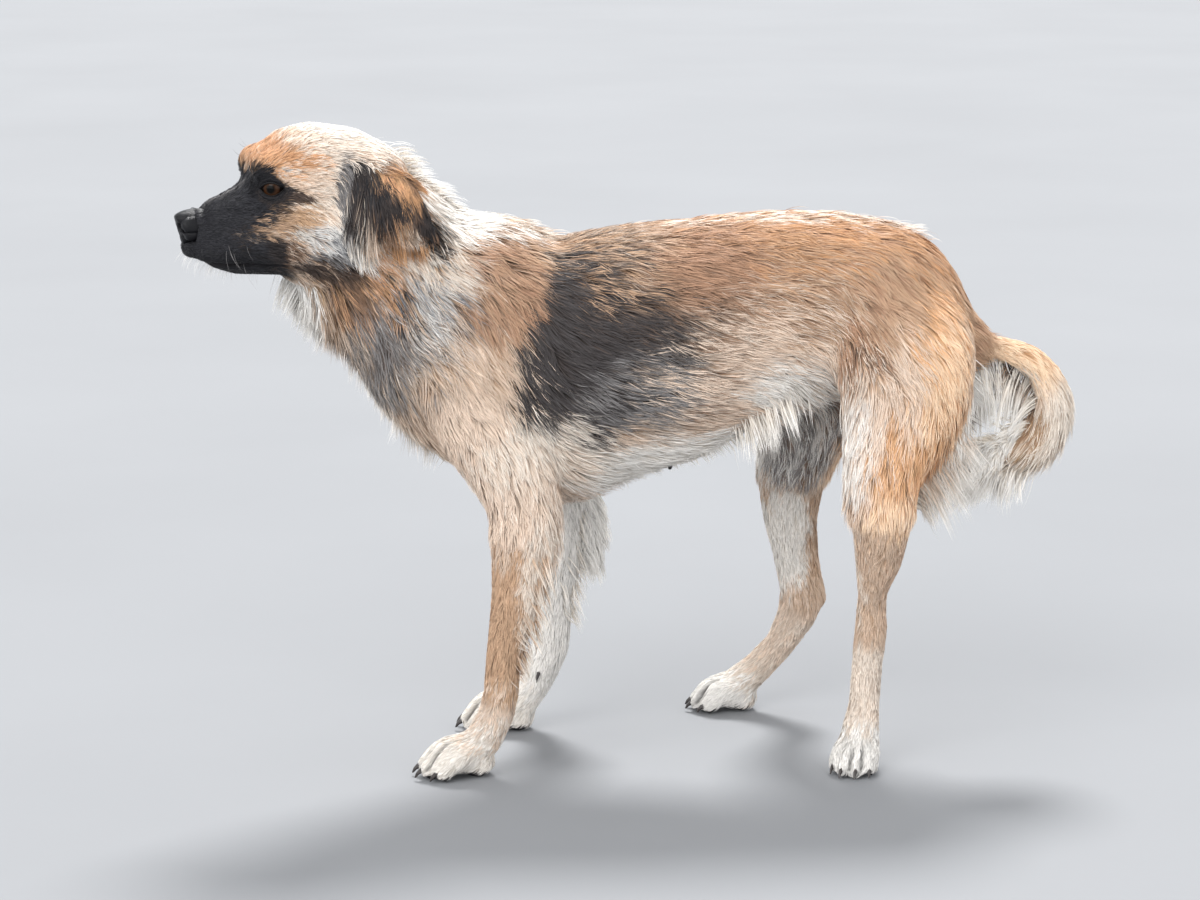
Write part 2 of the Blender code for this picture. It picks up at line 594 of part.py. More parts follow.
def inflated(obj, name, by=GAP):
    """A copy of obj, larger all round by the gap, to cut its neighbours with."""
    cutter = new_object(name, obj.data.copy(), bpy.data.collections["cutters"])
    cutter.hide_render = True
    cutter.display_type = "WIRE"
    grow = cutter.modifiers.new("grow", "DISPLACE")
    grow.strength = by
    grow.mid_level = 0.0
    return baked(cutter)


def islands_of(bm):
    """The sets of corners that hang together, largest first."""
    unseen = set(bm.verts)
    islands = []
    while unseen:
        stack = [unseen.pop()]
        island = set(stack)
        while stack:
            for edge in stack.pop().link_edges:
                for corner in edge.verts:
                    if corner in unseen:
                        unseen.discard(corner)
                        island.add(corner)
                        stack.append(corner)
        islands.append(island)
    return sorted(islands, key=len, reverse=True)


def largest_island(obj):
    """Drops the crumbs that a cut left beside the piece."""
    bm = bmesh.new()
    bm.from_mesh(obj.data)
    crumbs = [corner for island in islands_of(bm)[1:] for corner in island]
    bmesh.ops.delete(bm, geom=crumbs, context="VERTS")
    bm.to_mesh(obj.data)
    bm.free()


def part_body(body, collection):
    """Cuts the body into its nodes, and names each piece by the place of its middle."""
    subtract(body, [slab(name, *cut) for name, cut in CUTS.items()] + jaw_cuts())
    bm = bmesh.new()
    bm.from_mesh(body.data)
    bpy.data.objects.remove(body)
    made = {}
    for island in islands_of(bm)[: len(BODY_NODES)]:
        corners = [corner.co for corner in island]
        low = Vector(min(c[i] for c in corners) for i in range(3))
        high = Vector(max(c[i] for c in corners) for i in range(3))
        middle = (low + high) / 2
        free = [name for name in BODY_NODES if name not in made]
        name = min(free, key=lambda n: (Vector(BODY_NODES[n]) - middle).length)
        made[name] = island_object(name, bm, island, collection)
    bm.free()
    return made


def island_object(name, bm, island, collection):
    own = bmesh.new()
    copies = {corner: own.verts.new(corner.co) for corner in island}
    for face in bm.faces:
        if face.verts[0] in island:
            own.faces.new([copies[corner] for corner in face.verts])
    mesh = bpy.data.meshes.new(name)
    own.to_mesh(mesh)
    own.free()
    return new_object(name, mesh, collection)


def make_eyes(collection):
    frame = head_frame()
    made = {}
    for name, side in SIDES.items():
        centre = Vector((EYE_CENTRE.x, -side * EYE_CENTRE.y, EYE_CENTRE.z))
        radii = (EYE_RADIUS,) * 3
        made["eye_" + name] = ellipsoid("eye_" + name, centre, radii, frame, collection, 14)
    return made


def lid_openings():
    """An almond-shaped cutter over each eye, which opens the lids onto it."""
    made = []
    for side in SIDES.values():
        centre = Vector((EYE_CENTRE.x, -side * EYE_CENTRE.y, EYE_CENTRE.z))
        place = Matrix.Translation(centre) @ Matrix.Rotation(-side * EYE_TURN, 4, "Z")
        radii = (0.012, *LID_OPENING)
        cutters = bpy.data.collections["cutters"]
        made.append(ellipsoid("lids", Vector((0.0095, 0, 0)), radii, head_frame() @ place, cutters))
    return made


def make_nose(collection):
    """The nose leather: a rounded block with two nostrils and the groove between them."""
    frame = head_frame()
    holes = bpy.data.collections["cutters"]
    rows = [
        (-0.0090, -0.0010, 0.0085, 0.0100),
        (-0.0040, -0.0002, 0.0112, 0.0118),
        (0.0010, 0.0002, 0.0115, 0.0120),
        (0.0045, 0.0000, 0.0100, 0.0100),
        (0.0060, -0.0008, 0.0070, 0.0070),
    ]
    rings = []
    for x, z, tall, wide in rows:
        centre = NOSE_CENTRE + Vector((x, 0, z))
        ring = oval(centre, Vector((0, 0, tall)), Vector((0, wide, 0)), 0.18, 2.5, 14)
        rings.append([frame @ point for point in ring])
    nose = loft("nose", rings, collection, (35, 70))
    cutters = []
    for mirror in (1, -1):
        centre = NOSE_CENTRE + Vector((0.0080, mirror * 0.0050, 0.0004))
        cutters.append(ellipsoid("nostril", centre, (0.0060, 0.0022, 0.0034), frame, holes, 8))
        centre = NOSE_CENTRE + Vector((0.0030, mirror * 0.0110, -0.0018))
        cutters.append(ellipsoid("slit", centre, (0.0075, 0.0026, 0.0012), frame, holes, 8))
    return subtract(nose, cutters)


def make_ears(collection):
    frame = head_frame()
    made = {}
    for name, side in SIDES.items():
        rows = []
        for centre, chord, thick in EAR.values():
            rows.append(((centre[0], -side * centre[1], centre[2]), (chord[0], -side * chord[1], chord[2]), thick))
        made["ear_" + name] = loft("ear_" + name, fin_rings(rows, frame, 10), collection, (60,))
    return made


def make_feathers(collection):
    return {
        name: loft(name, fin_rings(stations.values(), Matrix.Identity(4)), collection, (60,))
        for name, stations in FEATHERS.items()
    }


def claw(name, root, forward, down_start, size, collection):
    """A horn that leaves root along forward, and curls down to its tip."""
    rings = []
    place = Vector(root)
    for step in range(CLAW_STEPS + 1):
        share = step / CLAW_STEPS
        angle = down_start + CLAW_CURL * share
        along = forward * math.cos(angle) - Vector((0, 0, 1)) * math.sin(angle)
        across = along.cross(Vector((0, 0, 1))).normalized()
        radius = size * (CLAW_RADIUS + (CLAW_TIP_RADIUS - CLAW_RADIUS) * share)
        rings.append(oval(place, along.cross(across) * radius * 1.25, across * radius, points=CLAW_POINTS))
        place = place + along * size * CLAW_LENGTH / CLAW_STEPS
    return loft(name, rings, collection, (60,))


def make_claws(collection):
    """A claw for each toe, and a dewclaw inside each wrist."""
    made = {}
    for paw in PAWS:
        frame = paw_frame(paw)
        size = PAWS[paw][2]
        middle = frame.to_translation()
        for toe, rows in TOES.items():
            tip = Vector(rows[-1][:3])
            splay = Vector((tip.x + 0.02, tip.y * 0.35, 0)).normalized()
            forward = (frame.to_3x3() @ splay).normalized()
            root = middle + frame.to_3x3() @ (tip + splay * 0.0038 + Vector((0, 0, 0.0012)))
            name = f"claw_{paw}_{toe}"
            made[name] = claw(name, root, forward, math.radians(18), size, collection)
    for name, side in SIDES.items():
        wrist = Vector(FORELEG[name]["pastern"][:3])
        root = wrist + Vector((-0.001, -side * 0.0125, 0.004))
        forward = Vector((-0.35, -side * 0.50, 0)).normalized()
        claw_name = "dewclaw_" + name
        made[claw_name] = claw(claw_name, root, forward, math.radians(45), 0.8, collection)
    return made


def paint(parts):
    """Gives each object the material of its place."""
    for name, obj in parts.items():
        if name.startswith("eye_"):
            material = "eye"
        elif name == "nose":
            material = "nose_leather"
        elif "claw" in name:
            material = "claw"
        elif name.startswith("ear_") or name == "lower_jaw":
            material = "dark_coat"
        elif "paw" in name or "foot" in name or "feather" in name or "breeches" in name or "plume" in name:
            material = "pale_coat"
        else:
            material = "tan_coat"
        obj.data.materials.clear()
        obj.data.materials.append(bpy.data.materials[material])


def centre_on_floor(parts):
    """Moves all so that the origin is on the floor, under the middle of the whole."""
    corners = [obj.matrix_world @ v.co for obj in parts.values() for v in obj.data.vertices]
    middle_x = (min(c.x for c in corners) + max(c.x for c in corners)) / 2
    middle_y = (min(c.y for c in corners) + max(c.y for c in corners)) / 2
    for obj in parts.values():
        obj.data.transform(Matrix.Translation((-middle_x, -middle_y, 0)))


def main():
    clear_scene()
    dog = new_collection("dog")
    new_collection("cutters").hide_render = True
    make_materials()
    body = make_body(dog)
    eyes = make_eyes(dog)
    nose = make_nose(dog)
    sockets = [inflated(eye, "socket") for eye in eyes.values()]
    subtract(body, [*sockets, *lid_openings(), inflated(nose, "nose_seat")])
    whole = inflated(body, "whole_body")
    ears = make_ears(dog)
    feathers = make_feathers(dog)
    claws = make_claws(dog)
    for piece in [*ears.values(), *feathers.values(), *claws.values()]:
        largest_island(subtract(piece, [inflated(whole, "body_copy", 0.0)]))
    bpy.data.objects.remove(whole)
    parts = part_body(body, dog)
    parts.update(eyes)
    parts["nose"] = nose
    parts.update(ears)
    parts.update(feathers)
    parts.update(claws)
    paint(parts)
    centre_on_floor(parts)


main()
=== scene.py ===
"""The looks of a standing mixed-breed dog: skin, coat, eyes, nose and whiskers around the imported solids.

The dog faces -X, its left side is at -Y and the floor is z = 0. Tables are in millimetres. A place is in
the part's own frame, "body" for both sides or "here" for one, or in the head's: "head", x forward, y to
its left, z up.
"""

import math

import bmesh
import bpy
import numpy as np
from mathutils import Matrix, Vector, kdtree


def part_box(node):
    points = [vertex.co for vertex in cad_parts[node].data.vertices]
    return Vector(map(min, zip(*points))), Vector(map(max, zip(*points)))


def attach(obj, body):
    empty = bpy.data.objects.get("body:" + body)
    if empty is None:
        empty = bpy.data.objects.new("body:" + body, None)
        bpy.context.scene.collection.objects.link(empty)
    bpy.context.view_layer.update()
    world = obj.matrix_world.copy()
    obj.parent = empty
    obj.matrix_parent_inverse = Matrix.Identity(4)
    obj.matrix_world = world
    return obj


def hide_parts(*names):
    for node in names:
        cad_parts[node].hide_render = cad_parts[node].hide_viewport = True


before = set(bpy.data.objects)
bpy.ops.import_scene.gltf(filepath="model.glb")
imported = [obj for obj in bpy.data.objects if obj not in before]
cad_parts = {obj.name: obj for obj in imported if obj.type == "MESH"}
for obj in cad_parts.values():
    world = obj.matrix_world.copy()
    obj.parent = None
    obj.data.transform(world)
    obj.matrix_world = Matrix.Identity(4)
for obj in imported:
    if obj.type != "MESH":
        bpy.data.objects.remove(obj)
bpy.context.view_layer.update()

chance = np.random.default_rng(7)

# -------- sizes and places, in metres
MM = 0.001
HEAD_PIVOT = np.array((-0.165, 0.0, 0.0))
HEAD_YAW = math.radians(17)
HEAD_TURN = math.pi + HEAD_YAW
EYE_CENTRE = np.array((0.0775, 0.0200, 0.4045))
EYE_TURN = math.radians(56)
EYE_RADIUS = 0.0102
LID_LENGTH = 0.0087  # half the length of the opening between the lids
LID_UPPER, LID_LOWER = 0.0044, 0.0046
LID_THICK = 0.0012
LID_TILT = math.radians(2)  # the outer corner lies a little higher
LID_LEATHER, LID_SHADE = (0.0008, 0.0016), (0.0022, 0.0042)  # where bare and dark skin end round the lids
IRIS_RADIUS = 0.0059
NOSE_CENTRE = np.array((0.1325, 0.0, 0.3800))
NOSE_SEAT = -0.0008  # how far the skin under the nose leather lies inside the solid nose
NOSE_VOXEL = 0.00045
MOUTH_FRONT, MOUTH_CORNER = (0.127, 0.3560), (0.069, 0.3540)  # x and z in the head's frame
LIP_HALF = 0.0019  # half the height of the groove between the lips
LIP_X, LIP_Y = (0.072, 0.088, 0.104, 0.120), 0.018  # places along the lips where the skin is finer
TEAT_ROOT = np.array((0.0332, -0.020, 0.2060))
TEAT_RADII = (0.0019, 0.0019, 0.0034)
TOE_GROOVE, TOE_RIDGE = -0.0034, 0.0011
SKIN_VOXEL = 0.0022
SKIN_GROWTH = 0.0004  # closes the thin cuts between the solids
FINE_REACH, FINEST_REACH = 0.0175, 0.0140  # round a detail, and round an eye, where the skin is finer
SAMPLE_SPACING = 0.002
PATCH = 0.003  # side of each tuft's patch on the map
DENSITY = 0.93
LONG_HAIR = 1  # share of the long tufts that are made
WHISKER_WIDTH = 0.00016
LOWEST_HAIR, LOWEST_LONG_HAIR = 0.0004, 0.0005  # no tuft goes below these heights

SIDES = {"left": 1, "right": -1}  # the sign of y in the head's frame
TOES = ("inner", "mid_inner", "mid_outer", "outer")
PAWS = {f"{pair}_{side}": f"{pair}leg_{side}" for pair in ("fore", "hind") for side in SIDES}
FLESH = (
    "head lower_jaw neck chest loin foreleg_left_upper foreleg_left_forearm foreleg_left_paw "
    "foreleg_right_upper foreleg_right_forearm foreleg_right_paw hindleg_left_thigh hindleg_left_shank "
    "hindleg_left_foot hindleg_right_thigh hindleg_right_shank hindleg_right_foot tail_base tail_middle "
    "tail_tip ear_left ear_right"
).split()


def srgb(red, green, blue):
    """A colour given as 0 to 255, as linear numbers."""
    channels = [c / 255 for c in (red, green, blue)]
    return tuple(c / 12.92 if c <= 0.04045 else ((c + 0.055) / 1.055) ** 2.4 for c in channels)


WHITE = srgb(246, 243, 238)
CREAM = srgb(242, 233, 221)
PEACH = srgb(234, 213, 194)
FAWN = srgb(214, 192, 172)
TAN = srgb(201, 167, 137)
RED_TAN = srgb(187, 147, 119)
ORANGE = srgb(203, 155, 112)
OCHRE = srgb(180, 144, 106)
BROWN = srgb(142, 112, 90)
UMBER = srgb(96, 78, 67)
DARK = srgb(60, 53, 51)
CHARCOAL = srgb(74, 70, 70)
SLATE = srgb(52, 52, 57)
BLACK = srgb(30, 30, 34)
GREY = srgb(142, 139, 138)
STEEL = srgb(150, 152, 156)
APRICOT = srgb(224, 172, 130)
GOLD = srgb(240, 192, 146)
PALE_GOLD = srgb(255, 228, 196)
SILVER = srgb(202, 200, 199)
BARE_SKIN = srgb(30, 28, 31)
HORN = srgb(52, 47, 45)

# -------- lie and kind of the coat
# Lines that the coat follows, from front to back or from the body outwards.
LINES = {
    "head": ((-300, -44, 375), (-255, -28, 382), (-215, -15, 395), (-165, 0, 385)),
    "neck": ((-205, -5, 385), (-165, 0, 350), (-130, 0, 318), (-90, 0, 285)),
    "trunk": ((-110, 0, 300), (-30, 0, 285), (50, 0, 300), (130, 0, 310), (220, 0, 295)),
    "foreleg_left": (
        (-105, -42, 310), (-84, -50, 228), (-71, -55, 185), (-75.5, -55, 124),
        (-86, -55, 70), (-93, -55, 38), (-140, -58, 4),
    ),
    "foreleg_right": (
        (-97, 42, 310), (-68, 50, 228), (-48, 52, 185), (-43.5, 51, 124),
        (-48, 51, 70), (-58, 52, 38), (-108, 55, 4),
    ),
    "hindleg_left": (
        (180, -35, 340), (184, -50, 250), (172, -60, 185), (169, -47, 121),
        (168, -43, 90), (163, -49, 40), (147, -85, 4),
    ),
    "hindleg_right": (
        (178, 35, 340), (152, 55, 250), (127, 70, 185), (128, 79, 115),
        (134, 81, 86), (106, 88, 34), (58, 91, 4),
    ),
    "tail": (
        (226, 0, 294), (258, 1, 283.5), (276, 2, 277.5), (291, 3, 265),
        (298.5, 4, 247), (296, 5, 229), (285, 6, 215), (262, 6, 205),
    ),
}

# For each kind of node: its piece of coat, the line it follows, how far down the hair turns from it, the
# COLUMNS, and the colours at the root and at the tip.
COAT = {
    "head": ("head", "head", 0.15, 1.6, 8.0, 0.44, 1.60, 0.25, 0.00, TAN, PEACH),
    "lower_jaw": ("head", "head", 0.10, 0.8, 4.5, 0.42, 1.60, 0.20, 0.00, SLATE, BLACK),
    "neck": ("neck", "neck", 0.45, 8.5, 30.0, 0.56, 1.20, 0.55, 0.14, OCHRE, FAWN),
    "chest": ("chest", "trunk", 0.40, 5.5, 26.0, 0.56, 0.71, 0.50, 0.05, TAN, FAWN),
    "loin": ("loin", "trunk", 0.35, 4.5, 25.0, 0.56, 0.71, 0.50, 0.05, RED_TAN, TAN),
    "foreleg_upper": ("shoulder", "foreleg", 0.00, 4.0, 18.0, 0.54, 0.80, 0.45, 0.05, FAWN, PEACH),
    "foreleg_forearm": ("foreleg", "foreleg", 0.00, 1.4, 9.5, 0.42, 1.25, 0.30, 0.00, TAN, TAN),
    "foreleg_paw": ("foreleg", "foreleg", 0.00, 0.8, 4.8, 0.38, 1.50, 0.20, 0.00, CREAM, WHITE),
    "hindleg_thigh": ("thigh", "hindleg", 0.10, 4.0, 21.0, 0.56, 0.72, 0.50, 0.05, TAN, PEACH),
    "hindleg_shank": ("hindleg", "hindleg", 0.00, 1.3, 9.5, 0.42, 1.20, 0.30, 0.00, TAN, FAWN),
    "hindleg_foot": ("hindleg", "hindleg", 0.00, 0.9, 5.5, 0.38, 1.45, 0.20, 0.00, FAWN, CREAM),
    "tail_base": ("tail", "tail", 0.05, 2.0, 20.0, 0.56, 1.50, 0.50, 0.15, ORANGE, PALE_GOLD),
    "tail_middle": ("tail", "tail", 0.10, 4.0, 29.0, 0.56, 1.50, 0.50, 0.50, TAN, CREAM),
    "tail_tip": ("tail", "tail", 0.15, 5.0, 34.0, 0.56, 1.50, 0.50, 0.58, TAN, CREAM),
    "ear": ("ear", "ear", 0.00, 0.9, 12.0, 0.48, 2.00, 0.40, 0.15, DARK, UMBER),
}
# In millimetres the coat's depth and a tuft's length and width, then the tufts per square millimetre, how
# much they gather into locks, and how free of the skin they hang.
COLUMNS = ("depth", "length", "width", "density", "lock", "hang")
BRIEF_GROUPS = ("head", "foreleg", "hindleg")  # their tufts have fewer steps

# Where the coat changes from its node's: frame, centre, radii, softness, what it becomes there.
COAT_SPOTS = (
    ("head", (114, 0, 370), (28, 34, 34), 0.2,
        dict(depth=0.5, length=2.8, width=0.34, density=2.3, lock=0.1)),
    ("head", (84, 24, 404), (16, 16, 14), 0.3,
        dict(depth=0.6, length=3.2, width=0.3, density=2.6, lock=0.1)),
    ("head", (70, 12, 437), (24, 24, 16), 0.4, dict(depth=1.4, length=7.5, width=0.46)),
    ("head", (5, 10, 432), (32, 40, 22), 0.4, dict(depth=2.6, length=15, width=0.6, density=1.3, lock=0.4)),
    ("head", (30, 44, 378), (30, 16, 26), 0.45, dict(depth=2.4, length=13, width=0.58)),
    ("head", (14, 40, 356), (32, 22, 20), 0.45, dict(depth=4, length=19, width=0.66, lock=0.5)),
    ("head", (55, 12, 346), (30, 22, 10), 0.45, dict(depth=2, length=13, lock=0.4)),
    ("body", (-214, 0, 317), (24, 36, 22), 0.4, dict(depth=7, length=27, hang=0.75, lock=0.6)),
    ("body", (-165, 0, 262), (35, 40, 45), 0.4, dict(length=32, hang=0.35, lock=0.6)),
    ("body", (-60, 0, 195), (60, 40, 20), 0.4, dict(length=24, hang=0.4)),
    ("body", (110, 40, 238), (30, 34, 30), 0.45, dict(length=30, hang=0.65, lock=0.6)),
    ("body", (140, 55, 220), (18, 30, 35), 0.45, dict(length=26, hang=0.55, lock=0.6)),
    ("body", (225, 34, 240), (22, 34, 50), 0.45, dict(length=28, hang=0.45, lock=0.55)),
    ("body", (50, 0, 385), (180, 30, 18), 0.45, dict(length=24, hang=0.22)),
    ("here", (-46, -55, 190), (20, 30, 30), 0.45, dict(length=22, hang=0.35)),
    ("head", (26, 52, 392), (12, 16, 30), 0.4, dict(length=27, hang=0.75, lock=0.5, width=0.6)),
    ("head", (1, 54, 379), (26, 12, 10), 0.4, dict(length=18, hang=0.7, lock=0.5)),
    ("head", (-14, 54, 388), (10, 14, 22), 0.4, dict(length=15, hang=0.45, lock=0.5)),
)

# Where the hair is combed another way: frame, centre, radii, softness, direction.
COMBED = (
    ("head", (112, 0, 375), (30, 40, 40), 0.3, (-1, 0.1, -0.18)),
    ("head", (118, 0, 397), (26, 10, 14), 0.3, (-1, 0.05, 0.45)),
    ("head", (80, 10, 432), (20, 22, 20), 0.4, (-0.6, 0.1, 0.8)),
    ("head", (56, 36, 412), (24, 20, 20), 0.4, (-1, 0.2, -0.05)),
    ("head", (45, 42, 382), (30, 22, 26), 0.4, (-1, 0.1, -0.45)),
    ("head", (20, 40, 362), (34, 26, 22), 0.4, (-0.85, 0, -0.75)),
    ("head", (50, 12, 344), (36, 24, 12), 0.4, (-0.75, 0, -0.65)),
    ("body", (-214, 0, 317), (24, 36, 24), 0.4, (-0.3, 0, -1)),
    ("body", (-168, 0, 265), (36, 45, 50), 0.4, (0.1, 0, -1)),
    ("body", (-110, 0, 215), (40, 50, 30), 0.4, (0.55, 0, -0.8)),
    ("body", (-85, 55, 285), (40, 40, 60), 0.5, (0.55, 0, -0.85)),
    ("body", (118, 45, 238), (30, 34, 30), 0.45, (0.35, 0, -1)),
    ("body", (190, 50, 310), (45, 40, 50), 0.45, (0.6, 0, -0.8)),
    ("body", (225, 34, 250), (25, 40, 50), 0.45, (0.55, 0, -0.85)),
    ("head", (30, 50, 395), (14, 16, 30), 0.4, (0.1, 0.15, -1)),
)

# Where the skin lies deeper than the coat alone asks: frame, centre, radii, softness, by how much.
TRIMS = (
    ("head", (83, 0, 445), (26, 40, 15), 0.6, 5.2),
    ("head", (56, 0, 450), (26, 44, 12), 0.6, 1.6),
    ("head", (121, 0, 393), (10, 12, 6), 0.5, -1.1),
    ("head", (122.5, 12, 378.5), (8.5, 6, 12), 0.5, -1.6),
)

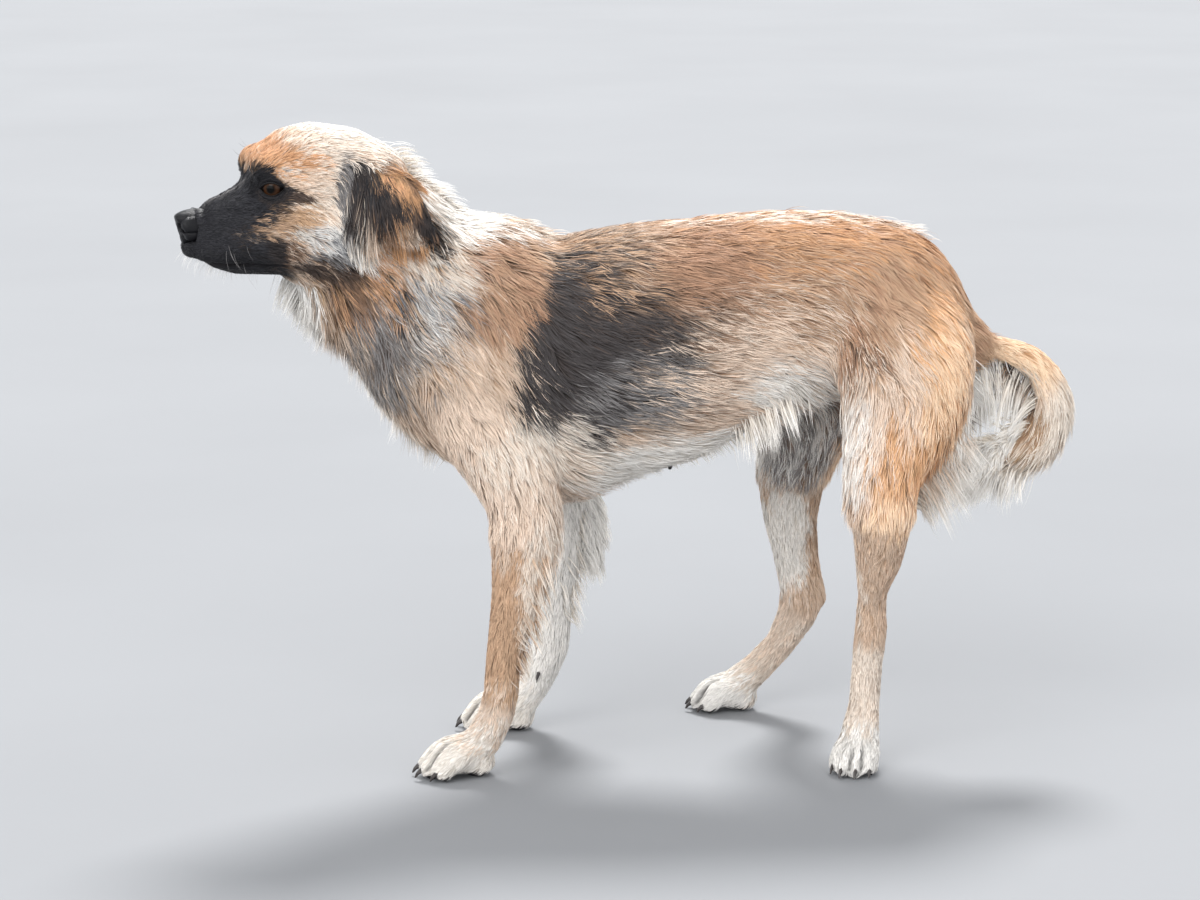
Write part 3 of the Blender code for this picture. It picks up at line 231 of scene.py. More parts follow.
# Painted in this order: frame, then centre, radii, softness, share of the tufts, root colour, tip colour.
MARKINGS = (
    # trunk
    ("body", (
        ((110, 0, 375), (150, 60, 35), 0.5, 0.8, RED_TAN, ORANGE),
        ((110, 0, 394), (170, 34, 20), 0.5, 0.7, TAN, CREAM),
        ((-20, 0, 385), (70, 34, 22), 0.5, 0.75, TAN, CREAM),
        ((60, 60, 250), (110, 50, 35), 0.7, 0.8, FAWN, PEACH),
        ((30, 30, 210), (140, 60, 24), 0.6, 0.95, CREAM, WHITE),
        ((120, 40, 235), (40, 45, 28), 0.5, 0.9, CREAM, WHITE),
        ((24, 60, 312), (84, 70, 60), 0.6, 0.55, BROWN, RED_TAN),
        ((22, 62, 300), (44, 70, 52), 0.9, 0.65, UMBER, BROWN),
        ((-46, 62, 292), (36, 70, 64), 0.3, 0.97, DARK, CHARCOAL),
        ((-10, 62, 298), (52, 70, 50), 0.5, 0.85, DARK, CHARCOAL),
        ((-4, 62, 270), (46, 70, 28), 0.6, 0.55, DARK, GREY),
        ((-34, 40, 358), (54, 60, 26), 0.7, 0.8, BROWN, TAN),
        ((-40, 40, 350), (52, 60, 30), 0.8, 0.42, DARK, CHARCOAL),
        ((-56, 50, 338), (22, 60, 22), 0.5, 0.85, DARK, CHARCOAL),
        ((42, 45, 352), (40, 50, 26), 0.9, 0.7, BROWN, RED_TAN),
        ((60, 50, 330), (110, 60, 44), 0.6, 0.2, UMBER, BROWN),
        ((90, 50, 275), (90, 60, 45), 0.6, 0.65, FAWN, PEACH),
        ((105, 50, 300), (85, 60, 60), 0.6, 0.22, TAN, CREAM),
        ((-100, 45, 345), (30, 60, 36), 0.6, 0.95, BROWN, RED_TAN),
        ((-104, 30, 345), (36, 60, 40), 0.6, 0.35, UMBER, TAN),
        ((98, 50, 264), (34, 50, 22), 0.9, 0.7, CREAM, WHITE),
        ((-96, 50, 285), (36, 50, 60), 0.6, 0.4, FAWN, PEACH),
        ((-70, 60, 225), (45, 50, 40), 0.6, 0.8, PEACH, CREAM),
    )),
    # neck and throat
    ("head", (
        ((12, 44, 366), (22, 34, 22), 0.6, 0.9, OCHRE, PEACH),
        ((12, 44, 360), (24, 34, 26), 0.6, 0.4, OCHRE, APRICOT),
        ((26, 42, 338), (24, 34, 18), 0.6, 0.9, OCHRE, APRICOT),
        ((18, 44, 350), (34, 34, 34), 0.6, 0.18, DARK, UMBER),
    )),
    ("body", (
        ((-135, 45, 365), (30, 40, 30), 0.6, 0.6, TAN, CREAM),
    )),
    ("head", (
        ((-4, 45, 332), (32, 44, 32), 0.9, 0.66, CHARCOAL, STEEL),
        ((-8, 45, 324), (32, 44, 36), 0.9, 0.28, GREY, WHITE),
        ((-4, 45, 320), (32, 44, 38), 0.9, 0.36, BLACK, DARK),
        ((0, 45, 288), (26, 44, 30), 0.8, 0.36, UMBER, GREY),
        ((18, 40, 308), (11, 34, 20), 0.7, 0.5, DARK, UMBER),
    )),
    ("body", (
        ((-196, 40, 338), (20, 24, 16), 0.6, 0.75, DARK, BROWN),
        ((-176, 25, 300), (22, 40, 40), 0.6, 0.65, UMBER, GREY),
        ((-150, 0, 330), (70, 60, 80), 0.5, 0.18, DARK, UMBER),
        ((-150, 0, 330), (70, 60, 80), 0.5, 0.22, GREY, WHITE),
        ((-222, 0, 322), (22, 36, 26), 0.35, 1, WHITE, WHITE),
        ((-110, 0, 392), (70, 36, 24), 0.5, 0.95, CREAM, WHITE),
        ((-150, 0, 250), (60, 22, 50), 0.5, 0.75, FAWN, CREAM),
        # hindquarters
        ((170, 55, 330), (40, 50, 40), 0.7, 0.6, RED_TAN, TAN),
        # painted shade: a brown band down the front of the thigh, for the crease between flank and thigh
        ((150, 60, 312), (16, 40, 34), 0.7, 0.7, BROWN, RED_TAN),
        ((156, 60, 298), (12, 40, 34), 0.7, 0.5, UMBER, BROWN),
        ((204, 50, 312), (20, 50, 30), 0.6, 0.8, ORANGE, GOLD),
        ((148, 60, 262), (20, 40, 28), 0.7, 0.45, GREY, CREAM),
        ((153, 60, 234), (22, 40, 40), 0.6, 0.8, PEACH, WHITE),
        ((212, 50, 262), (24, 50, 70), 0.6, 0.9, GOLD, PALE_GOLD),
        ((186, 55, 222), (32, 40, 44), 0.8, 0.72, ORANGE, GOLD),
        ((178, 55, 190), (32, 40, 26), 0.6, 0.85, GOLD, PALE_GOLD),
    )),
    ("here", (
        # painted shade: brown-grey on the upper far thigh, where the belly shades it
        ((120, 30, 220), (40, 24, 50), 0.7, 0.65, BROWN, GREY),
        # legs
        ((-72, -55, 190), (40, 30, 40), 0.8, 0.7, FAWN, PEACH),
        ((-60, -55, 140), (16, 30, 60), 0.6, 0.7, PEACH, CREAM),
        ((-93, -55, 45), (30, 30, 24), 0.8, 0.8, FAWN, PEACH),
        # far foreleg: its pale coat painted white all over, partly painted light that lifts it out of the
        # near leg's shade
        ((-46, 52, 120), (40, 40, 110), 0.4, 0.95, WHITE, WHITE),
        ((152, -50, 150), (16, 30, 60), 0.6, 0.5, PEACH, CREAM),
        ((186, -50, 150), (14, 30, 60), 0.6, 0.7, ORANGE, PEACH),
        ((122, 72, 150), (22, 30, 64), 0.5, 0.9, CREAM, WHITE),
        ((146, 72, 150), (10, 30, 50), 0.6, 0.6, BROWN, TAN),
        ((120, 83, 60), (30, 30, 40), 0.7, 0.7, FAWN, PEACH),
        ((165, -50, 50), (30, 40, 40), 0.7, 0.85, PEACH, CREAM),
        ((155, -70, 8), (35, 40, 24), 0.6, 1, WHITE, WHITE),
        ((75, 90, 10), (34, 30, 24), 0.6, 1, WHITE, WHITE),
        # tail
        # painted shade: dark roots in the hollow of the tail's curl, where the loop is open
        ((262, 0, 268), (18, 20, 10), 0.5, 0.5, DARK, WHITE),
        ((283, 4, 238), (12, 30, 24), 0.6, 0.55, BROWN, OCHRE),
    )),
    # head
    ("head", (
        ((10, 0, 440), (60, 36, 24), 0.6, 1, CREAM, WHITE),
        ((48, 30, 428), (34, 26, 14), 0.6, 0.8, FAWN, CREAM),
        ((84, 12, 424), (22, 30, 14), 0.7, 0.75, TAN, APRICOT),
        ((70, 28, 422), (22, 24, 10), 0.6, 0.75, ORANGE, APRICOT),
        ((46, 40, 400), (22, 22, 18), 0.6, 0.8, FAWN, CREAM),
        ((68, 34, 382), (18, 22, 16), 0.7, 0.75, OCHRE, TAN),
        ((72, 34, 372), (12, 22, 10), 0.7, 0.7, GREY, CREAM),
        ((46, 44, 371), (20, 24, 14), 0.6, 0.85, GREY, WHITE),
        ((42, 44, 368), (16, 24, 16), 0.6, 0.62, CHARCOAL, STEEL),
        ((60, 30, 364), (18, 24, 10), 0.6, 0.65, BROWN, TAN),
        ((52, 40, 360), (18, 24, 5), 0.6, 0.55, CHARCOAL, GREY),
        ((52, 36, 351), (26, 24, 8), 0.6, 0.75, DARK, UMBER),
        ((30, 40, 356), (8, 24, 6), 0.6, 0.6, DARK, UMBER),
        ((38, 46, 400), (9, 20, 26), 0.6, 0.7, CHARCOAL, GREY),
        ((79, 30, 362), (12, 30, 12), 0.7, 0.55, DARK, BROWN),
        ((88, 28, 361), (11, 30, 13), 0.5, 0.9, BLACK, DARK),
        ((86, 30, 393), (10, 22, 7), 0.7, 0.9, BLACK, UMBER),
        ((96, 22, 389), (11, 30, 14), 0.4, 1, BLACK, SLATE),
        ((126, 0, 390), (24, 22, 18), 0.2, 1, BLACK, SLATE),
        ((121, 0, 364), (37, 40, 27), 0.35, 1, BLACK, SLATE),
        ((112, 0, 386), (23, 40, 13), 0.3, 1, BLACK, SLATE),
        ((110, 0, 355), (36, 40, 14), 0.5, 1, BLACK, BLACK),
        ((102, 0, 398), (24, 20, 18), 0.3, 0.97, BLACK, SLATE),
        # painted highlight: grey tips in a narrow band along the top of the muzzle, the sheen of light on the
        # bridge
        ((114, 0, 398), (24, 5, 10), 0.7, 0.6, SLATE, GREY),
        ((83, 28, 380), (12, 30, 7), 0.8, 0.75, UMBER, TAN),
        ((88, 22, 407), (12, 14, 13), 0.35, 1, BLACK, BLACK),
        ((80, 26, 401), (12.5, 16, 8.5), 0.4, 1, BLACK, DARK),
        ((68, 34, 400.5), (8, 16, 3.4), 0.5, 0.9, DARK, UMBER),
        ((74, 28, 416.5), (10, 14, 3), 0.6, 0.5, GREY, CREAM),
        # ears
        ((4, 46, 413), (22, 22, 9), 0.5, 0.85, OCHRE, APRICOT),
        ((-4, 46, 402), (11, 20, 13), 0.6, 0.6, BROWN, ORANGE),
        ((10, 52, 394), (14, 20, 10), 0.6, 0.8, BLACK, DARK),
        ((4, 52, 385), (16, 20, 6), 0.6, 0.45, BROWN, ORANGE),
        ((-18, 54, 386), (10, 20, 22), 0.5, 0.9, BLACK, DARK),
        ((28, 52, 374), (8, 20, 22), 0.5, 0.6, UMBER, CREAM),
        ((22, 52, 400), (16, 20, 20), 0.5, 0.8, BLACK, DARK),
        ((27, 46, 416), (9, 20, 10), 0.5, 0.9, BLACK, DARK),
    )),
)

# Long hair that fills a solid of its own: how many tufts, how far a tuft bows, root and tip colours.
FEATHERS = {
    "foreleg_feather_left": (900, 0.30, (PEACH, WHITE)),
    # the far foreleg's feather is white at the root too: its pale hair, partly painted light lifting it out
    # of shade
    "foreleg_feather_right": (1300, 0.30, (WHITE, WHITE)),
    "breeches_left": (2200, 0.45, (CREAM, WHITE)),
    "breeches_right": (1700, 0.45, (CREAM, WHITE)),
    "tail_plume": (4200, 0.55, (CREAM, WHITE)),
}

# Long loose hair: frame, roots from and to, spread, direction, length, sag, count, root and tip colours.
FRINGES = {
    "ear_front": ("head", (30, 51, 415), (23, 55, 384), 3.5, (0.06, 0.1, -1), 32, 0.1, 240, DARK, FAWN),
    "ear_strands": ("head", (24, 56, 405), (12, 57, 385), 4, (-0.06, 0.08, -1), 26, 0.1, 150, DARK, BROWN),
    "ear_edge": ("head", (18, 54.5, 383), (-21, 54.5, 377), 3.5, (-0.3, 0.05, -1), 13, 0.1, 130, DARK, BROWN),
    "ear_back": ("head", (-6, 50, 406), (-22, 54, 378), 3, (-0.45, 0.1, -1), 8, 0.1, 120, BLACK, UMBER),
    "ear_tuft": ("head", (8, 48, 384), (-14, 48, 378), 5, (-0.15, 0.12, -1), 26, 0.1, 280, BROWN, ORANGE),
    "bib": ("body", (-224, 0, 338), (-203, 0, 306), 11, (-0.42, 0.15, -0.9), 24, 0.2, 420, WHITE, WHITE),
    "throat": ("body", (-200, 0, 302), (-132, 0, 220), 11, (-0.12, 0.1, -1), 24, 0.1, 420, FAWN, WHITE),
    "nape": ("body", (-158, 0, 417), (-90, 0, 379), 10, (0.9, 0.1, 0.25), 22, 0.3, 300, CREAM, WHITE),
    "withers": ("body", (-90, 0, 378), (30, 0, 374), 10, (1, 0.1, 0.22), 24, 0.3, 300, TAN, CREAM),
    "rump": ("body", (30, 0, 376), (200, 0, 364), 10, (1, 0.1, 0.14), 24, 0.3, 300, RED_TAN, CREAM),
    # brown hair along the ear's fold, whose orange tips are partly a painted rim of light
    "ear_top": ("head", (20, 44, 418), (-14, 47, 405), 4, (-0.75, 0.35, 0.1), 13, 0.5, 260, BROWN, ORANGE),
    "forearm_near": ("here", (-54, -55, 202), (-80, -55, 78), 7, (0.42, 0, -1), 20, 0.1, 520, TAN, CREAM),
    # the far forearm's fringe is paler than the near one's: its pale hair, partly painted light lifting it
    # out of shade
    "forearm_far": ("here", (-26, 52, 195), (-40, 51, 90), 7, (0.42, 0, -1), 22, 0.1, 520, CREAM, WHITE),
    "curtain": ("here", (226, -30, 248), (204, -42, 200), 10, (0.55, 0, -1), 50, 0.1, 520, PEACH, WHITE),
    "tail_curtain": ("here", (260, 6, 204), (278, 6, 212), 12, (-0.15, 0, -1), 40, 0, 420, CREAM, WHITE),
    "tail_under": ("here", (262, 0, 270), (286, 4, 230), 6, (-0.45, 0, -1), 22, 0, 240, UMBER, TAN),
    "breech_lock": ("here", (220, -20, 283), (224, -10, 270), 5, (0.7, 0, -0.75), 40, 0, 170, WHITE, WHITE),
    "breech_dark": ("here", (224, -15, 256), (230, -6, 246), 4, (0.75, 0, -0.75), 36, 0, 150, BLACK, UMBER),
    "flank": ("body", (86, 40, 231), (128, 50, 243), 8, (0.3, 0.12, -1), 33, 0.1, 300, CREAM, WHITE),
    "fold": ("body", (128, 52, 245), (150, 66, 280), 8, (0.15, 0.1, -1), 32, 0.1, 300, CREAM, WHITE),
    "thigh": ("body", (142, 62, 240), (150, 68, 205), 5, (-0.1, 0.15, -1), 20, 0.1, 160, PEACH, WHITE),
    "belly": ("body", (-40, 15, 187), (90, 20, 222), 9, (0.65, 0.05, -0.55), 13, 0.2, 300, CREAM, WHITE),
    "tail_root": ("here", (236, 0, 280), (264, 2, 274), 6, (0.3, 0, -1), 30, 0, 160, SILVER, CREAM),
    "tail_streaks": ("here", (244, 0, 278), (268, 2, 272), 6, (0.34, 0, -1), 33, 0, 90, BLACK, UMBER),
}

# Stiff hairs on both sides of the head: centre, spread, count, length, direction, colour.
WHISKERS = (
    ((112, 17, 364), (12, 3, 6), 9, 22, (0.15, 0.80, -0.60), GREY),
    ((128, 9, 359), (5, 5, 2), 14, 12, (0.85, 0.35, -0.60), WHITE),
    ((118, 7, 349), (10, 6, 2), 26, 10, (0.80, 0.25, -0.75), WHITE),
    ((100, 10, 348), (10, 6, 2), 14, 9, (0.30, 0.35, -1.00), SILVER),
    ((82, 19, 420), (4, 4, 2), 4, 13, (0.75, 0.35, 0.45), DARK),
    ((62, 33, 372), (3, 2, 3), 3, 18, (-0.10, 0.90, -0.30), DARK),
)

# The masses of the nose leather, in the head's frame: centre, radii, turn, and whether it has a twin.
NOSE_BALLS = (
    ((129, 0, 379.5), (13, 9.8, 10), 0.0, False),
    ((126.5, 0, 383.8), (16.2, 9.6, 6.4), 0.0, False),
    ((132, 0, 370.5), (9, 4.4, 4.4), 0.0, False),
    ((128.8, 6.2, 378.5), (12, 5.5, 8.4), 0.30, True),
    ((128.4, 6.5, 373.8), (10.2, 4.7, 4.6), 0.30, True),
)
# Each nostril, from its round hole to its slit: centre, radii, depth, how far it turns inwards.
NOSTRIL = (
    ((140.5, 4.6, 378.8), (8.5, 2.5, 3.1), 4.6, 0.20),
    ((138.5, 7.6, 376.8), (8.5, 2.6, 1.5), 2.8, 0.40),
    ((135, 10.6, 375.7), (8, 4, 1), 1.2, 0.60),
)

# The eyeball's colours from the middle of the pupil outwards.
EYE_RINGS = (
    (0.00, (0.0006, 0.0006, 0.0006)),
    (0.20, (0.0006, 0.0006, 0.0006)),
    (0.235, (0.012, 0.005, 0.002)),
    (0.36, (0.040, 0.016, 0.006)),
    (0.46, (0.026, 0.010, 0.004)),
    (0.540, (0.003, 0.002, 0.002)),
    (0.62, (0.005, 0.004, 0.003)),
    (0.80, (0.030, 0.021, 0.018)),
    (1.00, (0.050, 0.037, 0.033)),
)

# Broad even lights: from where they shine, power, width in degrees, colour.
LIGHTS = {
    "key": ((-1.3, -1.9, 2.0), 1.52, 40, (1.0, 0.992, 0.985)),
    "rim": ((0.20, 1.5, 2.3), 4.3, 16, (1.0, 0.995, 0.99)),
    "fill": ((1.6, -1.9, 0.6), 0.8, 60, (0.99, 0.99, 1.0)),
    "low": ((-1.7, -1.6, 0.22), 1.15, 60, (1.0, 0.998, 0.995)),
}
SKY_COLOUR, SKY_POWER = (0.93, 0.945, 0.97, 1), 1.05
FLOOR_COLOUR, FLOOR_HALF = (0.240, 0.247, 0.258), 40.0
CAMERA_AT = np.array((-0.1569, -2.3047, 0.718))
CAMERA_WAY = Vector((0.0597, 0.9752, -0.2130))
CAMERA_LENS, CAMERA_SENSOR = 102.9, 36.0


# -------- frames
def mm(values):
    """Millimetres of a table, as metres."""
    return np.asarray(values, float) / 1000


def turned(points, angle):
    """Points turned about the vertical."""
    cos, sin = math.cos(angle), math.sin(angle)
    x, y, z = np.moveaxis(np.asarray(points, float), -1, 0)
    return np.stack((x * cos - y * sin, x * sin + y * cos, z), axis=-1)


def box_middle(node):
    low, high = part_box(node)
    return np.array((low + high) / 2)


# part.py centres the dog on the floor at the end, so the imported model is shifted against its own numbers.
ORIGIN = box_middle("eye_left") - (turned(EYE_CENTRE, HEAD_TURN) + HEAD_PIVOT)
ORIGIN[2] = 0.0


def place(points, where="body"):
    """Points of the part's frame or the head's frame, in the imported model's."""
    if where == "head":
        return turned(points, HEAD_TURN) + HEAD_PIVOT + ORIGIN
    return np.asarray(points, float) + ORIGIN


def local(points, where):
    """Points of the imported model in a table's frame; "-" after its name keeps the sides' own signs."""
    found = turned(points - ORIGIN - HEAD_PIVOT, -HEAD_TURN) if where.startswith("head") else points - ORIGIN
    if where in ("body", "head"):
        found[:, 1] = np.abs(found[:, 1])
    return found


def direction(vector, where, points):
    """A direction from a two-sided table, for each point; on the far side it is mirrored."""
    found = np.tile(np.asarray(vector, float), (len(points), 1))
    found[:, 1] *= np.sign(local(points, where + "-")[:, 1])
    return turned(found, HEAD_TURN) if where == "head" else found


def unit(vectors):
    return vectors / np.maximum(np.linalg.norm(vectors, axis=-1, keepdims=True), 1e-12)


def smoothstep(low, high, value):
    t = np.clip((value - low) / (high - low), 0, 1)
    return t * t * (3 - 2 * t)


def hump(value, middle, width):
    return np.exp(-(((value - middle) / width) ** 2))


def spot(points, where, centre, radii, soft):
    """How much each point lies in an ellipsoid with a soft edge, from 0 to 1."""
    away = np.linalg.norm((local(points, where) - mm(centre)) / mm(radii), axis=1)
    return 1 - smoothstep(1 - soft, 1 + soft, away)


def blended(first, second, amount):
    return first * (1 - amount) + second * amount


# -------- meshes
def numbers(items, field, size, kind=np.float32):
    """One field of many vertices, edges or triangles, with size numbers for each."""
    found = np.empty(len(items) * size, kind)
    items.foreach_get(field, found)
    return found.reshape(-1, size)


def points_of(mesh):
    return numbers(mesh.vertices, "co", 3).astype(float)


def normals_of(mesh):
    return numbers(mesh.vertex_normals, "vector", 3).astype(float)


def triangles_of(mesh):
    mesh.calc_loop_triangles()
    return numbers(mesh.loop_triangles, "vertices", 3, np.int32)


def areas(corners):
    return np.linalg.norm(np.cross(corners[:, 1] - corners[:, 0], corners[:, 2] - corners[:, 0]), axis=1) / 2


def set_points(mesh, points):
    mesh.vertices.foreach_set("co", np.asarray(points, np.float32).ravel())
    mesh.update()


def add_field(mesh, name, values):
    """A value at each vertex for the materials: four numbers are a colour, and three are a vector."""
    if values.shape[-1] == 4:
        mesh.color_attributes.new(name, "FLOAT_COLOR", "POINT").data.foreach_set("color", values.ravel())
    else:
        mesh.attributes.new(name, "FLOAT_VECTOR", "POINT").data.foreach_set("vector", values.ravel())


def new_object(name, mesh):
    made = bpy.data.objects.new(name, mesh)
    bpy.context.scene.collection.objects.link(made)
    return made


def finished(name, mesh, material, slot, *replaced):
    """A piece of the dog, smooth and in its material, that may stand in for some nodes."""
    mesh.polygons.foreach_set("use_smooth", np.ones(len(mesh.polygons), bool))
    mesh.materials.append(material)
    made = new_object(name, mesh)
    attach(made, "root")
    if replaced:
        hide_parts(*replaced)


def mesh_of(bm, name):
    """The mesh of a bmesh, which is used up."""
    mesh = bpy.data.meshes.new(name)
    bm.to_mesh(mesh)
    bm.free()
    return mesh


def rolled_mesh(name, points, around, closed):
    """Quads over rows of points, each row a ring; where closed, the last row joins the first."""
    rows = len(points) // around
    faces = []
    for row in range(rows if closed else rows - 1):
        this, after = row * around, (row + 1) % rows * around
        for k in range(around):
            n = (k + 1) % around
            faces.append((this + k, after + k, after + n, this + n))
    mesh = bpy.data.meshes.new(name)
    mesh.from_pydata(points.tolist(), [], faces)
    bm = bmesh.new()
    bm.from_mesh(mesh)
    bmesh.ops.recalc_face_normals(bm, faces=bm.faces)
    return mesh_of(bm, name)


class Neighbours:
    """Averages over the vertices next to each vertex of a mesh."""

    def __init__(self, mesh):
        edges = numbers(mesh.edges, "vertices", 2, np.int32)
        both = np.concatenate((edges, edges[:, ::-1]))
        both = both[np.argsort(both[:, 0], kind="stable")]
        self.other = both[:, 1]
        self.count = np.bincount(both[:, 0])
        self.start = np.cumsum(self.count) - self.count

    def mean(self, values):
        total = np.add.reduceat(values[self.other], self.start, axis=0)
        return total / self.count.reshape((-1,) + (1,) * (values.ndim - 1))

    def blur(self, values, times):
        for _ in range(times):
            values = 0.4 * values + 0.6 * self.mean(values)
        return values

    def fair(self, points, times):
        """Smooths a shape and keeps its size."""
        for _ in range(times):
            points = points + 0.50 * (self.mean(points) - points)
            points = points - 0.52 * (self.mean(points) - points)
        return points


def voxel_mesh(obj, size):
    """A closed even mesh over everything in obj, which is used up."""
    remesh = obj.modifiers.new("remesh", "REMESH")
    remesh.mode = "VOXEL"
    remesh.voxel_size = size
    graph = bpy.context.evaluated_depsgraph_get()
    made = bpy.data.meshes.new_from_object(obj.evaluated_get(graph))
    bpy.data.objects.remove(obj)
    return made


def refined(mesh, centres, radius):
    """Halves the edges within radius of any of these places."""
    bm = bmesh.new()
    bm.from_mesh(mesh)
    near_by = []
    for edge in bm.edges:
        middle = (edge.verts[0].co + edge.verts[1].co) / 2
        if min((Vector(centre) - middle).length for centre in centres) < radius:
            near_by.append(edge)
    bmesh.ops.subdivide_edges(bm, edges=near_by, cuts=1, use_grid_fill=True)
    bmesh.ops.triangulate(bm, faces=[face for face in bm.faces if len(face.verts) > 4])
    return mesh_of(bm, "skin")


def tree_of(points):
    tree = kdtree.KDTree(len(points))
    for index, point in enumerate(points.tolist()):
        tree.insert(point, index)
    tree.balance()
    return tree


def nearest(tree, points):
    return np.array([tree.find(point)[1] for point in points.tolist()], np.int64)


# -------- materials
class Look:
    """A procedural material, built from the nodes that feed its shader."""

    def __init__(self, name):
        self.material = bpy.data.materials.new(name)
        self.material.use_nodes = True
        self.tree = self.material.node_tree

    def feed(self, node, inputs):
        """Links inputs to the sockets given for them, or sets them to the numbers given."""
        for key, value in inputs.items():
            if isinstance(value, bpy.types.NodeSocket):
                self.tree.links.new(value, node.inputs[key])
            else:
                node.inputs[key].default_value = value

    def node(self, kind, output, inputs=None, **settings):
        made = self.tree.nodes.new("ShaderNode" + kind)
        for key, value in settings.items():
            setattr(made, key, value)
        self.feed(made, inputs or {})
        return made.outputs[output]

    def where(self):
        return self.node("TexCoord", "Object")

    def noise(self, vector, scale, detail):
        return self.node("TexNoise", "Fac", {"Vector": vector, "Scale": scale, "Detail": detail})

    def tone(self, source, low, high, start=0.3, end=0.7):
        ends = {"From Min": start, "From Max": end, "To Min": low, "To Max": high}
        return self.node("MapRange", "Result", {"Value": source, **ends})

    def bump(self, height, strength, **settings):
        inputs = {"Strength": strength, "Distance": 0.0004, "Height": height}
        return self.node("Bump", "Normal", inputs, **settings)

    def flat(self, colour):
        made = self.node("RGB", 0)
        made.default_value = (*colour, 1)
        return made

    def done(self, colour, tone, roughness, specular=0.5, **others):
        """The material, once its colour, shaded by tone, and the rest are set."""
        if tone:
            colour = self.node("VectorMath", "Vector", {0: colour, "Scale": tone}, operation="SCALE")
        inputs = {"Base Color": colour, "Roughness": roughness, "Specular IOR Level": specular}
        inputs.update({key.replace("_", " "): value for key, value in others.items()})
        self.feed(self.tree.nodes["Principled BSDF"], inputs)
        return self.material


def skin_material():
    """Bare skin under the coat: the markings, mottled, with fine pores and folds."""
    look = Look("skin")
    where = look.where()
    paint = look.node("Attribute", "Color", attribute_name="markings")
    mottle = look.tone(look.noise(where, 160.0, 4.0), 0.72, 1.12)
    pores = look.noise(where, 1400.0, 2.0)
    return look.done(paint, mottle, 0.62, 0.20, Normal=look.bump(pores, 0.35))


def coat_material():
    """Hair: each tuft carries its own colour from root to tip, with fine strands along it."""
    look = Look("coat")
    paint = look.node("Attribute", "Color", attribute_name="markings")
    strand = look.node("Attribute", "Vector", attribute_name="strand")
    stretch = look.node("VectorMath", "Vector", {0: strand, 1: (9.0, 1.2, 40.0)}, operation="MULTIPLY")
    lines = look.tone(look.noise(stretch, 1.0, 2.0), 0.76, 1.15)
    return look.done(paint, lines, 0.52, 0.20, Sheen_Weight=0.12, Sheen_Roughness=0.45)


def leather_material(name, colour, pebble, roughness):
    look = Look(name)
    cells = look.node("TexVoronoi", "Distance", {"Vector": look.where(), "Scale": pebble})
    # painted shade and light: the pebbles lighter in their middles and darker in the cracks between them,
    # following the bump
    tone = look.tone(cells, 1.35, 0.55, 0.0, 0.7)
    return look.done(look.flat(colour), tone, roughness, 0.22, Normal=look.bump(cells, 0.40, invert=True))


def eye_material():
    """The eyeball by its own coordinates: black pupil, amber iris with rays, dark rim, brown-grey white."""
    look = Look("eyeball")
    gaze = look.node("Attribute", "Vector", attribute_name="gaze")
    apart = look.node("SeparateXYZ", "X", {0: gaze}).node.outputs
    rays = look.node("CombineXYZ", 0, {0: apart["Y"], 1: apart["Z"]})
    wobble = look.tone(look.noise(rays, 9.0, 4.0), -0.035, 0.035)
    ring = look.node("Math", 0, {0: apart["X"], 1: wobble}, operation="ADD")
    shade = look.node("ValToRGB", "Color", {"Fac": ring})
    ramp = shade.node.color_ramp.elements
    for at, colour in EYE_RINGS[1:-1]:
        ramp.new(at)
    for element, (at, colour) in zip(ramp, EYE_RINGS):
        element.color = (*colour, 1)
    return look.done(shade, None, 0.45, 0.0, Coat_Weight=0.24, Coat_Roughness=0.02)


def grained_material(name, colour, scale, detail, low, high, roughness):
    """A colour with a soft cloudy grain: the claws' horn and the floor."""
    look = Look(name)
    grain = look.tone(look.noise(look.where(), scale, detail), low, high)
    return look.done(look.flat(colour), grain, roughness)


SKIN_MATERIAL = skin_material()
COAT_MATERIAL = coat_material()
NOSE_MATERIAL = leather_material("nose_leather_pebbled", (0.005, 0.005, 0.007), 2300.0, 0.34)
RIM_MATERIAL = leather_material("lid_rim_leather", (0.006, 0.005, 0.006), 5200.0, 0.30)
PAD_MATERIAL = leather_material("pad_leather", (0.016, 0.015, 0.017), 1100.0, 0.55)
EYE_MATERIAL = eye_material()
HORN_MATERIAL = grained_material("horn", HORN, 900.0, 3.0, 0.6, 1.5, 0.32)


# -------- skin; its outer surface is the coat's
# Each node's name without its side, the key of COAT.
KINDS = ["_".join(word for word in node.split("_") if word not in SIDES) for node in FLESH]


def grown(names):
    """One object of copies of these nodes, a little larger, and the cores of the nose and the eyes."""
    bm = bmesh.new()
    for name in (*names, "nose", "eye_left", "eye_right"):
        by = SKIN_GROWTH if name in names else NOSE_SEAT
        solid = bmesh.new()
        solid.from_mesh(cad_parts[name].data)
        bmesh.ops.remove_doubles(solid, verts=solid.verts, dist=1e-6)
        solid.normal_update()
        for vert in solid.verts:
            vert.co += vert.normal * by
        copy = mesh_of(solid, "copy")
        bm.from_mesh(copy)
        bpy.data.meshes.remove(copy)
    return new_object("grown", mesh_of(bm, "grown"))


def shares_of(random):
    """Even barycentric shares from two random numbers for each point."""
    root = np.sqrt(random[:, :1])
    return np.concatenate((1 - root, root * (1 - random[:, 1:]), root * random[:, 1:]), axis=1)


def on_node(name, count=None):
    """Random points on a node, count of them or one for each square of SAMPLE_SPACING."""
    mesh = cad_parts[name].data
    corners = points_of(mesh)[triangles_of(mesh)]
    area = areas(corners)
    count = count or int(area.sum() / SAMPLE_SPACING**2)
    chosen = chance.choice(len(area), count, p=area / area.sum())
    return (corners[chosen] * shares_of(chance.random((count, 2)))[:, :, None]).sum(axis=1)


